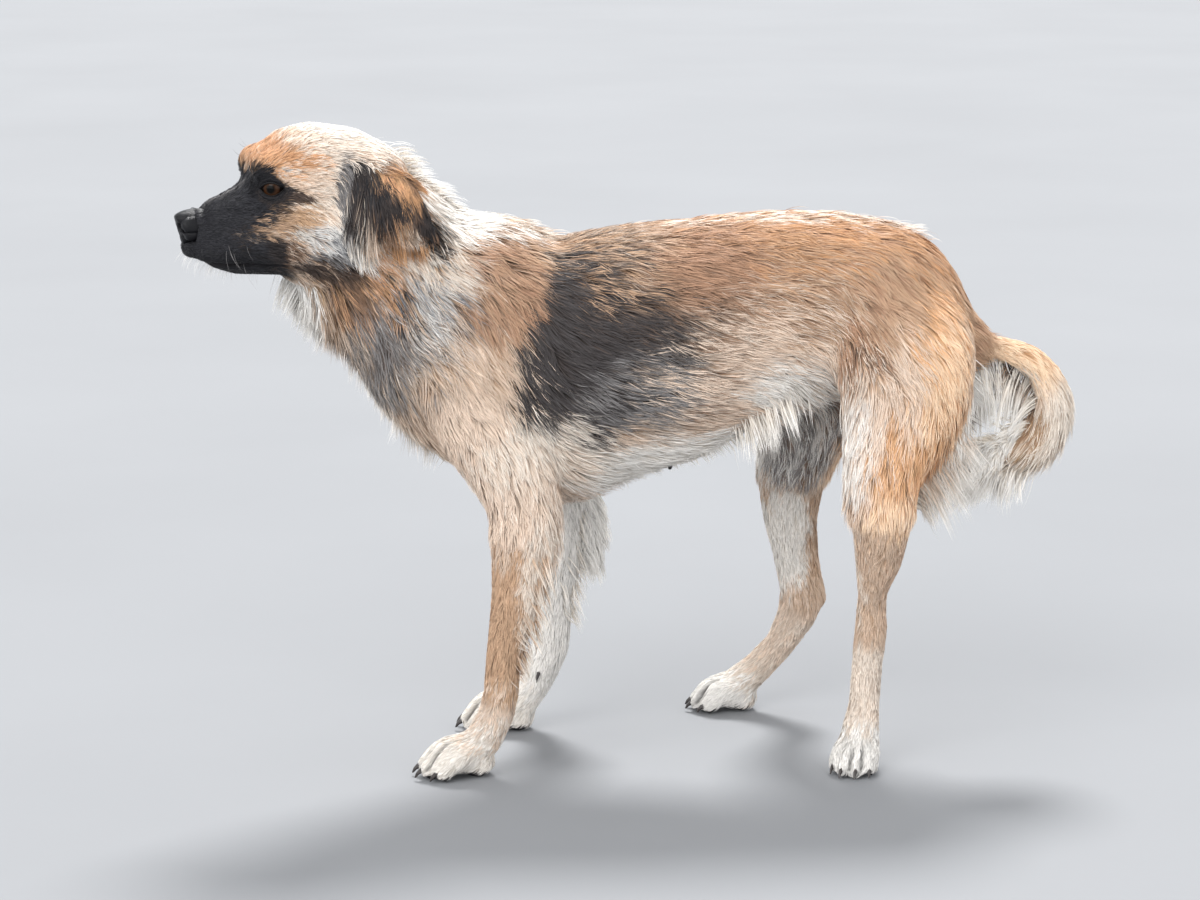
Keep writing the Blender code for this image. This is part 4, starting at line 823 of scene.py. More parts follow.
def eye_frame(side):
    """Centre and axes of an eye: out of the head, back along it, up."""
    angle = EYE_TURN * side
    out = np.array((math.cos(angle), math.sin(angle), 0))
    back = np.array((-math.sin(angle) * side, math.cos(angle) * side, 0))
    up = np.array((0.0, 0.0, 1.0))
    cos, sin = math.cos(LID_TILT), math.sin(LID_TILT)
    axes = np.array((out, back * cos + up * sin, up * cos - back * sin))
    return place(EYE_CENTRE * (1, side, 1), "head"), turned(axes, HEAD_TURN)


def from_eye(points, side):
    """Points seen from an eye: the way to each, and that as lengths out of the head, back along it and up."""
    centre, axes = eye_frame(side)
    away = points - centre
    return away, *(away @ axes.T).T


def lid_gap(x, y):
    """Distance outside the almond opening between the lids; negative inside it."""
    tall = np.where(y > 0, LID_UPPER, LID_LOWER)
    return (np.abs(y) / tall + (x / LID_LENGTH) ** 2 - 1) * tall * 0.75


def wrap_lids(points):
    """Moves the skin round each eye onto a lid on the eyeball, and what is between the lids behind it."""
    for side in SIDES.values():
        away, out, x, y = from_eye(points, side)
        apart = np.linalg.norm(away, axis=1)
        across = np.hypot(x, y)
        gap = lid_gap(x, y)
        lid = EYE_RADIUS + LID_THICK * smoothstep(-0.0002, 0.0010, gap) + 0.0010 * hump(gap, 0.0016, 0.0012)
        crease = 0.0006 * hump(gap, 0.0042, 0.0009) * (y > -0.002)
        target = np.where(gap < -0.0001, EYE_RADIUS - 0.0022, lid - crease)
        near_by = (out > 0.0005) & (across < 0.0175) & (apart < 0.026)
        blend = near_by * (1 - smoothstep(0.0060, 0.0165, across + 0.6 * np.maximum(gap, 0)))
        blend = np.where(near_by & (gap < 0.0012), 1.0, blend)
        points = points + unit(away) * ((target - apart) * blend)[:, None]
    return points


def mouth_line(x, sag=0.0):
    """Height of the line between the lips, in the head's frame."""
    share = np.clip((MOUTH_FRONT[0] - x) / (MOUTH_FRONT[0] - MOUTH_CORNER[0]), 0, 1)
    return MOUTH_FRONT[1] + (MOUTH_CORNER[1] - MOUTH_FRONT[1]) * share - sag * np.sin(share * math.pi)


def carve_mouth(points):
    """A groove between the lips, with a fuller lip above and a thin one below."""
    at = local(points, "head")
    off = at[:, 2] - mouth_line(at[:, 0], 0.0012)
    along = smoothstep(MOUTH_CORNER[0] - 0.006, MOUTH_CORNER[0] + 0.004, at[:, 0]) * (at[:, 0] < 0.135)
    groove = -0.0026 * np.clip(1 - (off / LIP_HALF) ** 2, 0, 1)
    lips = 0.0011 * hump(off, 0.0042, 0.0026) + 0.0006 * hump(off, -0.0040, 0.0022)
    outward = local(points, "head-")[:, :2] - (0.100, 0.0)
    away = turned(np.c_[unit(outward), np.zeros(len(points))], HEAD_TURN)
    return points + away * ((groove + lips) * along)[:, None]


def seat_nose(points):
    """Draws the skin back under the nose leather, to leave room for the nostrils."""
    at = local(points, "head")
    under = smoothstep(0.0125, 0.0105, at[:, 1]) * smoothstep(0.3665, 0.3690, at[:, 2])
    deep = np.maximum(at[:, 0] - 0.1265, 0) * 0.62 * under
    return points + turned(deep[:, None] * (-1.0, 0.0, 0.0), HEAD_TURN)


def toe_shapes(points, normals):
    """For each groove between two toes, then each toe: is it a groove, and how much is each point in it."""
    for paw, leg in PAWS.items():
        claws = [box_middle(f"claw_{paw}_{toe}") for toe in TOES]
        ankle = place(mm(LINES[leg][-2])) * (1, 1, 0) + (0, 0, 0.024)
        gaps = [(a + b) / 2 for a, b in zip(claws, claws[1:])]
        for tip in (*gaps, *claws):
            is_groove = any(tip is gap for gap in gaps)
            start = tip + (0, 0, 0.004)
            reach = ankle - start
            share = np.clip(((points - start) @ reach) / (reach @ reach), -0.1, 0.62)
            away = points - (start + share[:, None] * reach)
            across = away @ np.cross(unit(reach * (1, 1, 0)), (0, 0, 1.0))
            near_by = np.linalg.norm(away, axis=1) < 0.018
            fade = smoothstep(0.62, 0.25, share) * smoothstep(-0.3, 0.2, normals[:, 2]) * near_by
            yield is_groove, hump(across, 0, 0.0014 if is_groove else 0.0026) * fade


def build_skin():
    """An even closed mesh round all the flesh, finer at the eyes, lips, nose and toes."""
    mesh = voxel_mesh(grown(FLESH), SKIN_VOXEL)
    set_points(mesh, Neighbours(mesh).fair(points_of(mesh), 8))
    detail = [eye_frame(side)[0] for side in SIDES.values()]
    detail += [place((x, y, MOUTH_FRONT[1]), "head") for x in LIP_X for y in (-LIP_Y, LIP_Y)]
    detail += [place((0.124, 0, 0.372), "head")]
    detail += [place(mm(LINES[leg][-1])) + (0, 0, 0.008) for leg in PAWS.values()]
    return refined(refined(mesh, detail, FINE_REACH), detail[:2], FINEST_REACH)


outer_mesh = build_skin()
near = Neighbours(outer_mesh)
outer = near.fair(points_of(outer_mesh), 4)
set_points(outer_mesh, outer)
outer_normals = unit(near.blur(normals_of(outer_mesh), 3))

samples = [on_node(name) for name in FLESH]
sample_nodes = np.repeat(np.arange(len(FLESH)), [len(points) for points in samples])
node_at = sample_nodes[nearest(tree_of(np.concatenate(samples)), outer)]


def coat_fields():
    """For each vertex the COAT columns, softened over the skin, in metres and per square metre."""
    found = near.blur(np.array([COAT[kind][3:9] for kind in KINDS], float)[node_at], 18)
    for *where, changes in COAT_SPOTS:
        amount = spot(outer, *where)
        for name, value in changes.items():
            column = COLUMNS.index(name)
            found[:, column] += amount * (value - found[:, column])
    found = near.blur(found, 4)
    return dict(zip(COLUMNS, found.T * np.array((MM, MM, MM, 1e6, 1, 1))[:, None]))


def line_directions(points, line):
    """For each point, the direction of the line next to it, smoothly turned at its corners."""
    line = place(mm(line))
    middles = (line[1:] + line[:-1]) / 2
    along = unit(line[1:] - line[:-1])
    away = np.linalg.norm(points[:, None] - middles[None], axis=2)
    weight = 1 / (away**4 + 1e-10)
    return unit((weight[:, :, None] * along[None]).sum(axis=1))


def lie_of_coat():
    """For each vertex the direction in which its hair points, before it is laid on the skin."""
    found = np.zeros_like(outer)
    for index, node in enumerate(FLESH):
        on = node_at == index
        line, down = COAT[KINDS[index]][1:3]
        if line == "ear":
            found[on] = direction((-0.30, 0.12, -1.0), "head", outer[on])
            continue
        if line.endswith("leg"):
            line += "_left" if "left" in node else "_right"
        found[on] = line_directions(outer[on], LINES[line])
        found[on, 2] -= down
    found = near.blur(unit(found), 25)
    for *where, way in COMBED:
        amount = spot(outer, *where)[:, None]
        found = blended(found, unit(direction(way, where[0], outer)), amount)
    return unit(near.blur(unit(found), 6))


def skin_points():
    """The outer surface moved in by the coat's depth, with mouth, nose seat, lids and toes shaped in it."""
    points = near.fair(outer - outer_normals * coat["depth"][:, None], 3)
    for *where, by in TRIMS:
        points = points - outer_normals * (spot(points, *where) * by * MM)[:, None]
    for is_groove, amount in toe_shapes(points, outer_normals):
        points = points + outer_normals * (amount * (TOE_GROOVE if is_groove else TOE_RIDGE))[:, None]
    return wrap_lids(carve_mouth(seat_nose(points)))


coat = coat_fields()
lie = lie_of_coat()
skin = skin_points()
set_points(outer_mesh, skin)
skin_normals = unit(near.blur(normals_of(outer_mesh), 2))
flow = unit(near.blur(unit(lie - skin_normals * (lie * skin_normals).sum(axis=1)[:, None]), 4))
skin_tree = tree_of(skin)
skin_triangles = triangles_of(outer_mesh)


# -------- colours of the skin
def painted(points, root, tip, pick):
    """Root and tip colours under the markings; pick(share) says how much of one a point takes."""
    for where, spots in MARKINGS:
        for centre, radii, soft, share, root_colour, tip_colour in spots:
            amount = pick(spot(points, where, centre, radii, soft) * share)[:, None]
            root = root + (np.array(root_colour) - root) * amount
            tip = tip + (np.array(tip_colour) - tip) * amount
    return root, tip


def sole(points, normals):
    """How much of a paw's pads each point is."""
    under = smoothstep(0.0075, 0.0045, points[:, 2]) * smoothstep(-0.25, -0.6, normals[:, 2])
    return np.maximum(under, smoothstep(0.0042, 0.0026, points[:, 2]) * smoothstep(0.3, 0.0, normals[:, 2]))


def on_lids(points, first, last):
    """How much each point lies on the lids, which fade out between these distances from the opening."""
    found = np.zeros(len(points))
    for side in SIDES.values():
        _, out, x, y = from_eye(points, side)
        found = np.maximum(found, (out > 0) * (1 - smoothstep(first, last, lid_gap(x, y))))
    return found


def bare_leather(points):
    """Eye rims, lips and the skin around the nose, which are dark and almost bare."""
    at = local(points, "head")
    off = np.abs(at[:, 2] - mouth_line(at[:, 0]) + 0.0010)
    lips = (1 - smoothstep(0.0010, 0.0020, off)) * smoothstep(0.066, 0.072, at[:, 0])
    from_nose = np.linalg.norm((at - NOSE_CENTRE) / (0.95, 0.98, 0.95), axis=1)
    nose = 1 - smoothstep(0.0, 0.0016, from_nose - 0.0100)
    return np.max((on_lids(points, *LID_LEATHER), lips, nose), axis=0)


ground = np.array([COAT[kind][9:] for kind in KINDS])[node_at]
ground_root, ground_tip = near.blur(ground[:, 0], 14), near.blur(ground[:, 1], 14)
# how much each point lies in a gap between toes: the skin and hair there get painted shade, and fewer tufts
# grow there
shaded_toe_gaps = np.zeros(len(outer))
for is_groove, amount in toe_shapes(outer, outer_normals):
    if is_groove:
        shaded_toe_gaps = np.maximum(shaded_toe_gaps, amount)
skin_root, skin_tip = painted(outer, ground_root, ground_tip, lambda share: share)
pads = sole(skin, skin_normals)
leather = bare_leather(skin)
# dark skin: the black pads, the bare leather at lips and nose, the dark skin round the lids, and painted
# shade in the gaps between the toes
dark = np.max((pads, leather, on_lids(skin, *LID_SHADE), 0.75 * shaded_toe_gaps), axis=0)[:, None]
skin_colour = blended(0.62 * skin_root + 0.18 * skin_tip, np.array(BARE_SKIN), dark)
add_field(outer_mesh, "markings", np.c_[skin_colour, np.ones(len(skin))].astype(np.float32))
finished("skin", outer_mesh, SKIN_MATERIAL, "tan_coat", *FLESH)

# -------- coat
# Steps along a tuft, and its width at each but the last, where it ends in a point.
SHORT = (0.0, 0.38, 0.74, 1.0)
BRIEF = (0.0, 0.56, 1.0)
LONG = (0.0, 0.2, 0.4, 0.6, 0.8, 1.0)
ALONG = np.array(LONG)[:, None, None]
TAPER = {SHORT: (0.75, 1.0, 0.70), BRIEF: (0.9, 0.95), LONG: (0.70, 1.0, 0.95, 0.75, 0.45)}


def unwrap(points, node):
    """A place on the map for each point: the angle round its node's own middle line, and how far along it."""
    found = np.zeros((len(points), 2))
    across = 5
    for index, name in enumerate(FLESH):
        on = node == index
        low, high = (np.array(v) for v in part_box(name))
        size = high - low
        axis = int(np.argmax(size))
        first, second = [k for k in range(3) if k != axis]
        off = (points[on] - (low + high) / 2) / size
        angle = np.arctan2(off[:, second], off[:, first]) / (2 * math.pi) + 0.5
        along = np.clip(off[:, axis] + 0.5, 0, 1)
        found[on, 0] = (index % across + 0.03 + 0.94 * angle) / across
        found[on, 1] = (index // across + 0.03 + 0.94 * along) / across
    return np.clip(found, 0.002, 0.995)


def ribbons(name, rows, sides, widths, root, tip, uv, seed, steps, slot, *replaced):
    """One piece of tapered blades. rows is steps x tufts x 3, sides the same."""
    count, pairs = rows.shape[1], len(steps) - 1
    each = pairs * 2 + 1
    verts = np.empty((count, each, 3), np.float32)
    for k in range(pairs):
        half = sides[k] * (widths * TAPER[steps][k] / 2)[:, None]
        verts[:, 2 * k] = rows[k] - half
        verts[:, 2 * k + 1] = rows[k] + half
    verts[:, -1] = rows[-1]
    at = np.repeat(np.array(steps), [2] * pairs + [1])
    side = np.array([0, 1] * pairs + [0.5])
    colour = np.ones((count, each, 4), np.float32)
    for k in range(each):
        shade = 0.78 + 0.22 * smoothstep(0.0, 0.40, at[k])
        colour[:, k, :3] = blended(root, tip, smoothstep(0.25, 0.85, at[k])) * shade
    strand = np.empty((count, each, 3), np.float32)
    strand[:, :, 0] = side
    strand[:, :, 1] = at
    strand[:, :, 2] = seed[:, None]
    corners = [corner for k in range(0, 2 * pairs - 2, 2) for corner in (k, k + 1, k + 3, k + 2)]
    corners += [2 * pairs - 2, 2 * pairs - 1, 2 * pairs]
    loops = (np.arange(count)[:, None] * each + np.array(corners)).astype(np.int32).ravel()
    sizes = np.tile([4] * (pairs - 1) + [3], count)
    mesh = bpy.data.meshes.new(name)
    mesh.vertices.add(count * each)
    mesh.vertices.foreach_set("co", verts.ravel())
    mesh.loops.add(len(loops))
    mesh.loops.foreach_set("vertex_index", loops)
    mesh.polygons.add(len(sizes))
    mesh.polygons.foreach_set("loop_start", (np.cumsum(sizes) - sizes).astype(np.int32))
    mesh.update(calc_edges=True)
    add_field(mesh, "markings", colour)
    add_field(mesh, "strand", strand)
    patch = uv[:, None, :] + np.stack((side, at), axis=1)[None] * PATCH - PATCH / 2
    bake = mesh.uv_layers.new(name="OFBake")
    bake.data.foreach_set("uv", patch.reshape(-1, 2)[loops].astype(np.float32).ravel())
    finished(name, mesh, COAT_MATERIAL, slot, *replaced)


def blade_sides(rows, normals, roll):
    """For each row the direction across the blade, flat on the skin and rolled a little."""
    found = np.empty_like(rows)
    for k in range(len(rows)):
        ahead = rows[min(k + 1, len(rows) - 1)] - rows[max(k - 1, 0)]
        side = unit(np.cross(unit(ahead), normals[k]))
        found[k] = side * np.cos(roll)[:, None] + normals[k] * np.sin(roll)[:, None]
    return found


def scatter(density):
    """Random places on the skin: triangle, barycentric shares."""
    weight = areas(skin[skin_triangles]) * density[skin_triangles].mean(axis=1)
    count = int(weight.sum())
    order = np.cumsum(weight)
    chosen = np.searchsorted(order, (np.arange(count) + chance.random(count)) * (order[-1] / count))
    chosen = np.minimum(chosen, len(weight) - 1)
    return chosen, shares_of(chance.random((count, 2)))


def rotated(vectors, normals, angles):
    return vectors * np.cos(angles)[:, None] + np.cross(normals, vectors) * np.sin(angles)[:, None]


def laid(start, vertex, length, rise, turn, free, hang):
    """Rows of short tufts: along the skin at a height that grows to rise, or free of it as they hang."""
    rows, normals, loose = [start], [skin_normals[vertex]], [start]
    at, before = start, 0.0
    for step in SHORT[1:]:
        way = rotated(flow[vertex], skin_normals[vertex], turn)
        at = at + way * (length * (step - before))[:, None]
        vertex = nearest(skin_tree, at)
        normal = skin_normals[vertex]
        at = at - normal * ((at - skin[vertex]) * normal).sum(axis=1)[:, None]
        height = rise * (1 - (1 - step) ** 1.8)
        rows.append(at + normal * height[:, None])
        normals.append(normal)
        droop = unit(free + np.array((0, 0, -0.55)) * step)
        loose.append(loose[-1] + droop * (length * (step - before))[:, None])
        before = step
    return blended(np.array(rows), np.array(loose), hang[:, None]), np.array(normals)


def locks(roots, size):
    """Gathers tufts into locks of about size: the tufts that lead, and which of them each tuft follows."""
    leaders = chance.choice(len(roots), max(3, len(roots) // size), replace=False)
    return leaders, nearest(tree_of(roots[leaders]), roots)


def draw_together(rows, steps, leaders, owner, pull, power):
    """Draws the tufts of each lock towards its leader, more at their tips."""
    for k, step in enumerate(steps):
        rows[k] += pull * step**power * (rows[k][leaders[owner]] - rows[k])


def streaked(values, ahead):
    """Averages over tufts that follow one another, ranked from 0 to 1, so that a value runs in streaks."""
    total, at = np.zeros(len(values)), np.arange(len(values))
    for _ in range(7):
        total += values[at]
        at = ahead[at]
    found = np.empty(len(values))
    found[np.argsort(total)] = np.linspace(0, 1, len(values))
    return found


def make_coat():
    """The short tufts over the whole skin, in a piece for each part of the body and side."""
    bare = 1 - np.clip(np.maximum(np.maximum(pads, leather) * 1.1, 0.7 * shaded_toe_gaps), 0, 1)
    chosen, shares = scatter(coat["density"] * bare * DENSITY)

    def here(values):
        """Vertex values at the tufts' roots."""
        at = values[skin_triangles[chosen]]
        return (at * shares.reshape(shares.shape + (1,) * (at.ndim - 2))).sum(axis=1)

    def varied(name, low, high):
        return here(coat[name]) * chance.uniform(low, high, count)

    start = here(skin)
    vertex = skin_triangles[chosen, np.argmax(shares, axis=1)]
    count = len(start)
    length = varied("length", 0.65, 1.2)
    hang = np.clip(varied("hang", 0.4, 1.4), 0, 0.95)
    lock = np.clip(varied("lock", 0.5, 1.3), 0, 0.9)
    width = varied("width", 0.7, 1.25)
    leaders, owner = locks(start, 16)
    lock_turn = chance.normal(0, 0.16, len(leaders))[owner]
    lock_tone = chance.random(len(leaders))[owner]
    turn = lock_turn + chance.normal(0, 0.10, count)
    rise = varied("depth", 0.55, 1.15) + 0.0003
    normal = skin_normals[vertex]
    free = rotated(unit(lie[vertex] + normal * 0.35), normal, turn)
    rows, normals = laid(start, vertex, length, rise, turn, free, hang)
    draw_together(rows, SHORT, leaders, owner, lock[:, None], 1.4)
    sides = blade_sides(rows, normals, chance.normal(0, 0.45, count))
    own = chance.random(count)
    ahead = nearest(tree_of(start), start + flow[vertex] * (0.0006 + 0.16 * length)[:, None])
    streak = streaked(own, ahead)
    broad = streaked(lock_tone, ahead)

    def pick(share):
        """A tuft takes a marking or leaves it, by a number that runs in streaks along the coat."""
        draw = (0.5 * broad + 0.5 * streak + chance.random()) % 1.0
        return smoothstep(0.0, 0.40, share * 1.4 - draw)

    root, tip = painted(here(outer), here(ground_root), here(ground_tip), pick)
    # tone varies in streaks along the coat, and the hair in the gaps between the toes is darkened with
    # painted shade
    tone = (0.84 + 0.12 * broad + 0.15 * streak + 0.05 * own)[:, None] * (1 - 0.60 * here(shaded_toe_gaps))[:, None]
    lids = 0.9 * on_lids(start, *LID_SHADE)[:, None]
    root, tip = (blended(colour, np.array(BLACK), lids) * tone for colour in (root, tip))
    node = node_at[vertex]
    uv = unwrap(start, node)
    seed = chance.random(count)
    rows[:, :, 2] = np.maximum(rows[:, :, 2], LOWEST_HAIR)
    group = np.array([COAT[kind][0] for kind in KINDS], object)[node]
    in_head = np.isin(group, ("head", "ear"))
    left = np.where(in_head, local(start, "head-")[:, 1] > 0, start[:, 1] < ORIGIN[1])
    for name in sorted({row[0] for row in COAT.values()}):
        for side in SIDES:
            on = (group == name) & (left == (side == "left"))
            line, across, steps = rows[:, on], sides[:, on], SHORT
            if name in BRIEF_GROUPS:
                line = np.array((line[0], (line[1] + line[2]) / 2, line[3]))
                across, steps = across[[0, 1, 3]], BRIEF
            looks = (width[on], root[on], tip[on], uv[on], seed[on])
            ribbons(f"coat_{name}_{side}", line, across, *looks, steps, "tan_coat")


make_coat()


# -------- long hair
def long_hair(name, rows, normals, roll, widths, root, tip, start, vertex, *replaced):
    rows[:, :, 2] = np.maximum(rows[:, :, 2], LOWEST_LONG_HAIR)
    sides = blade_sides(rows, np.repeat(normals[None], len(LONG), axis=0), roll)
    uv = unwrap(start, node_at[vertex])
    seed = chance.random(len(start))
    ribbons(name, rows, sides, widths, root, tip, uv, seed, LONG, "pale_coat", *replaced)


def make_feather(name, count, sag, colours):
    """Hair from the skin out through the whole of a feather's solid."""
    count = int(count * LONG_HAIR)
    edge = on_node(name, count)
    vertex = nearest(skin_tree, edge + np.array((-0.004, 0, 0.022)))
    start = skin[vertex] + chance.normal(0, 0.0012, (count, 3))
    reach = edge - start
    size = np.linalg.norm(reach, axis=1)
    end = start + reach * chance.uniform(0.85, 1.06, count)[:, None] + chance.normal(0, 0.0014, (count, 3))
    bow = skin_normals[vertex] * (0.16 * size)[:, None] + np.array((0, 0, 1.0)) * (sag * 0.22 * size)[:, None]
    rows = start * (1 - ALONG) + end * ALONG + bow * (4 * ALONG * (1 - ALONG)) * 0.8
    leaders, owner = locks(edge, 14)
    draw_together(rows, LONG, leaders, owner, 0.5, 1.5)
    side_on = np.array((0.0, 1.0, 0.0)) * np.sign(chance.normal(0, 1, count))[:, None]
    roll = chance.normal(0, 0.6, count)
    tone = (0.84 + 0.22 * chance.random(len(leaders))[owner] + 0.1 * chance.random(count))[:, None]
    root, tip = (np.tile(np.array(colour), (count, 1)) for colour in colours)
    draw = chance.random(len(leaders))[owner]
    root, tip = painted(edge, root, tip, lambda share: smoothstep(0.0, 0.40, share * 0.40 - draw))
    widths = chance.uniform(0.55, 1.0, count) * MM
    long_hair("coat_" + name, rows, side_on, roll, widths, root * tone, tip * tone, start, vertex, name)


def make_fringe(name, where, first, last, spread_by, way, length, sag, count, root, tip):
    """Tufts rooted along a line on the skin, on both sides unless the frame is "here"."""
    count = int(count * LONG_HAIR)
    starts, ways = [], []
    for side in (1,) if where == "here" else (1, -1):
        mirror = np.array((1, side, 1))
        share = chance.random((count, 1))
        at = blended(mm(first), mm(last), share) + chance.normal(0, 0.5, (count, 3)) * mm(spread_by)
        turn = unit(unit(np.array(way)) + chance.normal(0, 0.13, (count, 3))) * mirror
        starts.append(place(at * mirror, where))
        ways.append(turned(turn, HEAD_TURN) if where == "head" else turn)
    start, free = np.concatenate(starts), np.concatenate(ways)
    total = len(start)
    vertex = nearest(skin_tree, start)
    normal = skin_normals[vertex]
    start = skin[vertex] + chance.normal(0, 0.0008, (total, 3))
    reach = mm(length) * chance.uniform(0.6, 1.1, total)[:, None]
    rise = normal * (0.10 * ALONG * (1.2 - ALONG))
    rows = start + (free * ALONG + rise + np.array((0, 0, -sag)) * ALONG * ALONG) * reach
    leaders, owner = locks(start, 12)
    draw_together(rows, LONG, leaders, owner, 0.55, 1.4)
    roll = chance.normal(0, 0.5, total)
    tone = (0.82 + 0.22 * chance.random(len(leaders))[owner] + 0.14 * chance.random(total))[:, None]
    widths = chance.uniform(0.45, 0.8, total) * MM
    root, tip = np.array(root) * tone, np.array(tip) * tone
    long_hair("fringe_" + name, rows, normal, roll, widths, root, tip, start, vertex)


def make_whiskers():
    """Stiff hairs at the lips and chin, above the eyes and on the cheek."""
    starts, ways, lengths, colours = [], [], [], []
    for side in SIDES.values():
        for centre, radii, count, length, way, colour in WHISKERS:
            mirror = np.array((1, side, 1))
            at = mm(centre) + chance.normal(0, 0.6, (count, 3)) * mm(radii)
            starts.append(place(at * mirror, "head"))
            turn = unit(np.array(way) + chance.normal(0, 0.16, (count, 3)))
            ways.append(turned(turn * mirror, HEAD_TURN))
            lengths.append(chance.uniform(0.6, 1.15, count) * mm(length))
            colours.append(np.tile(colour, (count, 1)))
    start, way, length, colour = (np.concatenate(parts) for parts in (starts, ways, lengths, colours))
    vertex = nearest(skin_tree, start)
    start = skin[vertex]
    back = unit(flow[vertex])
    bow = back * (0.35 * ALONG * ALONG) + np.array((0, 0, -0.12)) * ALONG * ALONG
    rows = start + (way * ALONG + bow) * length[:, None]
    roll = chance.uniform(0, 3, len(start))
    widths = np.full(len(start), WHISKER_WIDTH)
    long_hair("whiskers", rows, back, roll, widths, colour, colour, start, vertex)


for feather, values in FEATHERS.items():
    make_feather(feather, *values)
for fringe, values in FRINGES.items():
    make_fringe(fringe, *values)
make_whiskers()


# -------- eyes, nose, teats, claws
def make_eye(name, side):
    """The eyeball with a raised cornea over the iris."""
    centre, axes = eye_frame(side)
    rings, around = 40, 64
    angles = np.linspace(0, math.pi * 0.80, rings)
    turns = np.linspace(0, 2 * math.pi, around, endpoint=False)
    angle, turn = (grid.ravel() for grid in np.meshgrid(angles, turns, indexing="ij"))
    iris = math.asin(IRIS_RADIUS / EYE_RADIUS)
    radius = EYE_RADIUS + 0.00055 * (1 - smoothstep(iris * 0.2, iris * 1.15, angle))
    wide = radius * np.sin(angle)
    offsets = np.stack((radius * np.cos(angle), wide * np.cos(turn), wide * np.sin(turn)), axis=1)
    mesh = rolled_mesh(name, centre + offsets @ axes, around, False)
    apart = np.sin(np.minimum(angle, math.pi / 2)) * 0.92
    add_field(mesh, "gaze", np.stack((apart, np.cos(turn), np.sin(turn)), axis=1).astype(np.float32))
    finished("eyeball_" + name, mesh, EYE_MATERIAL, "eye", "eye_" + name)


def make_lid_rim(name, side):
    """The bare wet edge of the lids, a thin roll round the almond opening."""
    centre, axes = eye_frame(side)
    around, ring = 72, 8
    turns = np.linspace(0, 2 * math.pi, around, endpoint=False)
    x = LID_LENGTH * 1.02 * np.cos(turns)
    tall = np.where(np.sin(turns) > 0, LID_UPPER, LID_LOWER)
    y = tall * (1 - np.cos(turns) ** 2) * np.sign(np.sin(turns))
    out = np.sqrt((EYE_RADIUS + 0.0005) ** 2 - x**2 - y**2)
    middle = np.stack((out, x, y), axis=1)
    ahead = unit(np.roll(middle, -1, axis=0) - np.roll(middle, 1, axis=0))
    first = unit(middle)
    second = np.cross(ahead, first)
    thick = (0.00062 + 0.00016 * np.sin(turns))[:, None]
    angles = np.linspace(0, 2 * math.pi, ring, endpoint=False)[:, None, None]
    rows = middle + (first * np.cos(angles) + second * np.sin(angles)) * thick
    mesh = rolled_mesh("lid_rim_" + name, centre + np.concatenate(rows) @ axes, around, True)
    finished("lid_rim_" + name, mesh, RIM_MATERIAL, "nose_leather")


def ball(bm, centre, radii, tilt, subdivisions):
    """An ellipsoid turned about the vertical."""
    matrix = Matrix.Translation(centre) @ Matrix.Rotation(tilt, 4, "Z") @ Matrix.Diagonal((*radii, 1))
    bmesh.ops.create_icosphere(bm, subdivisions=subdivisions, radius=1.0, matrix=matrix)


def make_teat(name, side):
    """A small bare teat that shows under the belly."""
    vertex = nearest(skin_tree, place(TEAT_ROOT * (1, side, 1))[None])[0]
    bm = bmesh.new()
    ball(bm, skin[vertex] + (0, 0, -0.0052), TEAT_RADII, 0.0, 3)
    finished("nipple_" + name, mesh_of(bm, "nipple_" + name), PAD_MATERIAL, "nose_leather")


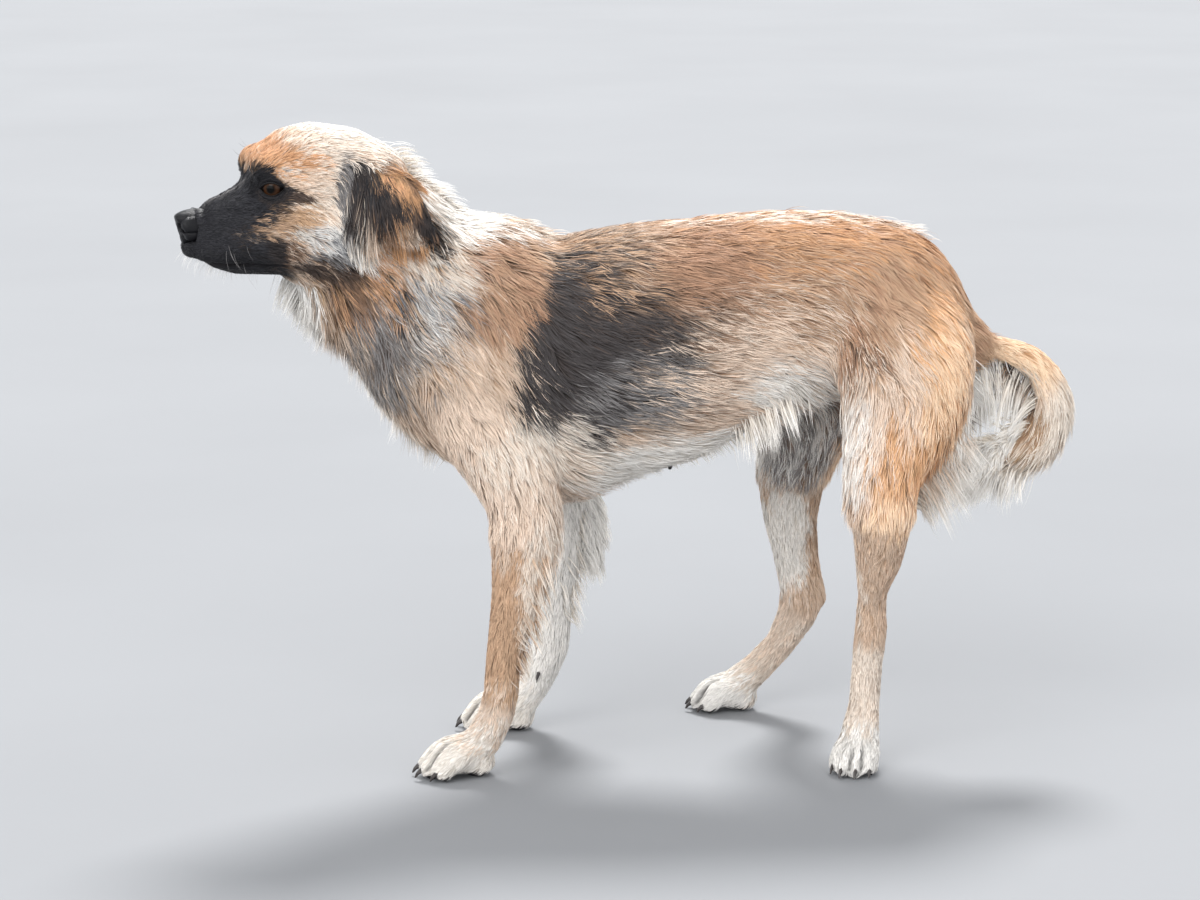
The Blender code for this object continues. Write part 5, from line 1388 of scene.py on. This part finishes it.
def make_nose():
    """The nose leather: a flat front that leans out at the top, wings beside it and comma-shaped nostrils."""
    solid = bmesh.new()
    for centre, radii, tilt, has_twin in NOSE_BALLS:
        for mirror in (1, -1) if has_twin else (1,):
            ball(solid, mm(centre) * (1, mirror, 1), mm(radii), mirror * tilt, 4)
    mesh = voxel_mesh(new_object("nose_solid", mesh_of(solid, "nose_solid")), NOSE_VOXEL)
    points = Neighbours(mesh).fair(points_of(mesh), 8)
    front = 0.1376 + (points[:, 2] - 0.3676) / 0.019 * 0.0052 - 60 * points[:, 1] ** 2 * 0.28
    over = np.maximum(points[:, 0] - front + 0.0016, 0)
    points[:, 0] -= over**2 / (over + 0.0016)
    for mirror in (1, -1):
        for centre, radii, deep, inwards in NOSTRIL:
            away = np.linalg.norm((points - mm(centre) * (1, mirror, 1)) / mm(radii), axis=1)
            inside = mm(deep) * (1 - smoothstep(0.45, 1.10, away))
            points[:, 0] -= inside
            points[:, 1] -= mirror * inwards * inside
    groove = hump(points[:, 1], 0, 0.0005) * smoothstep(0.3815, 0.3780, points[:, 2])
    points[:, 0] -= 0.0010 * groove * (points[:, 0] > 0.130)
    set_points(mesh, place(Neighbours(mesh).blur(points, 1), "head"))
    finished("nose_leather", mesh, NOSE_MATERIAL, "nose_leather", "nose")


for name, side in SIDES.items():
    make_eye(name, side)
for name, side in SIDES.items():
    make_lid_rim(name, side)
    make_teat(name, side)
make_nose()

for name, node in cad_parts.items():
    if name.startswith(("claw", "dewclaw")):
        node.data.materials.clear()
        node.data.materials.append(HORN_MATERIAL)

# -------- floor, lights, camera
floor_mesh = bpy.data.meshes.new("floor")
floor_corners = [(x * FLOOR_HALF, y * FLOOR_HALF, 0) for x, y in ((-1, -1), (1, -1), (1, 1), (-1, 1))]
floor_mesh.from_pydata(floor_corners, [], [(0, 1, 2, 3)])
floor_mesh.materials.append(grained_material("pale_floor", FLOOR_COLOUR, 2.0, 4.0, 0.96, 1.02, 0.9))
floor = new_object("floor", floor_mesh)

for name, (at, power, width, colour) in LIGHTS.items():
    sun = bpy.data.lights.new(name, "SUN")
    sun.energy = power
    sun.angle = math.radians(width)
    sun.color = colour
    lamp = new_object(name, sun)
    lamp.location = at
    lamp.rotation_euler = (-Vector(at)).to_track_quat("-Z", "Y").to_euler()

world = bpy.data.worlds.new("studio")
world.use_nodes = True
sky = world.node_tree.nodes["Background"]
sky.inputs["Color"].default_value = SKY_COLOUR
sky.inputs["Strength"].default_value = SKY_POWER
bpy.context.scene.world = world
bpy.context.scene.view_settings.view_transform = "Standard"

camera_data = bpy.data.cameras.new("camera")
camera_data.lens = CAMERA_LENS
camera_data.sensor_width = CAMERA_SENSOR
camera = new_object("camera", camera_data)
camera.location = CAMERA_AT + ORIGIN
camera.rotation_euler = CAMERA_WAY.to_track_quat("-Z", "Y").to_euler()
bpy.context.scene.camera = camera
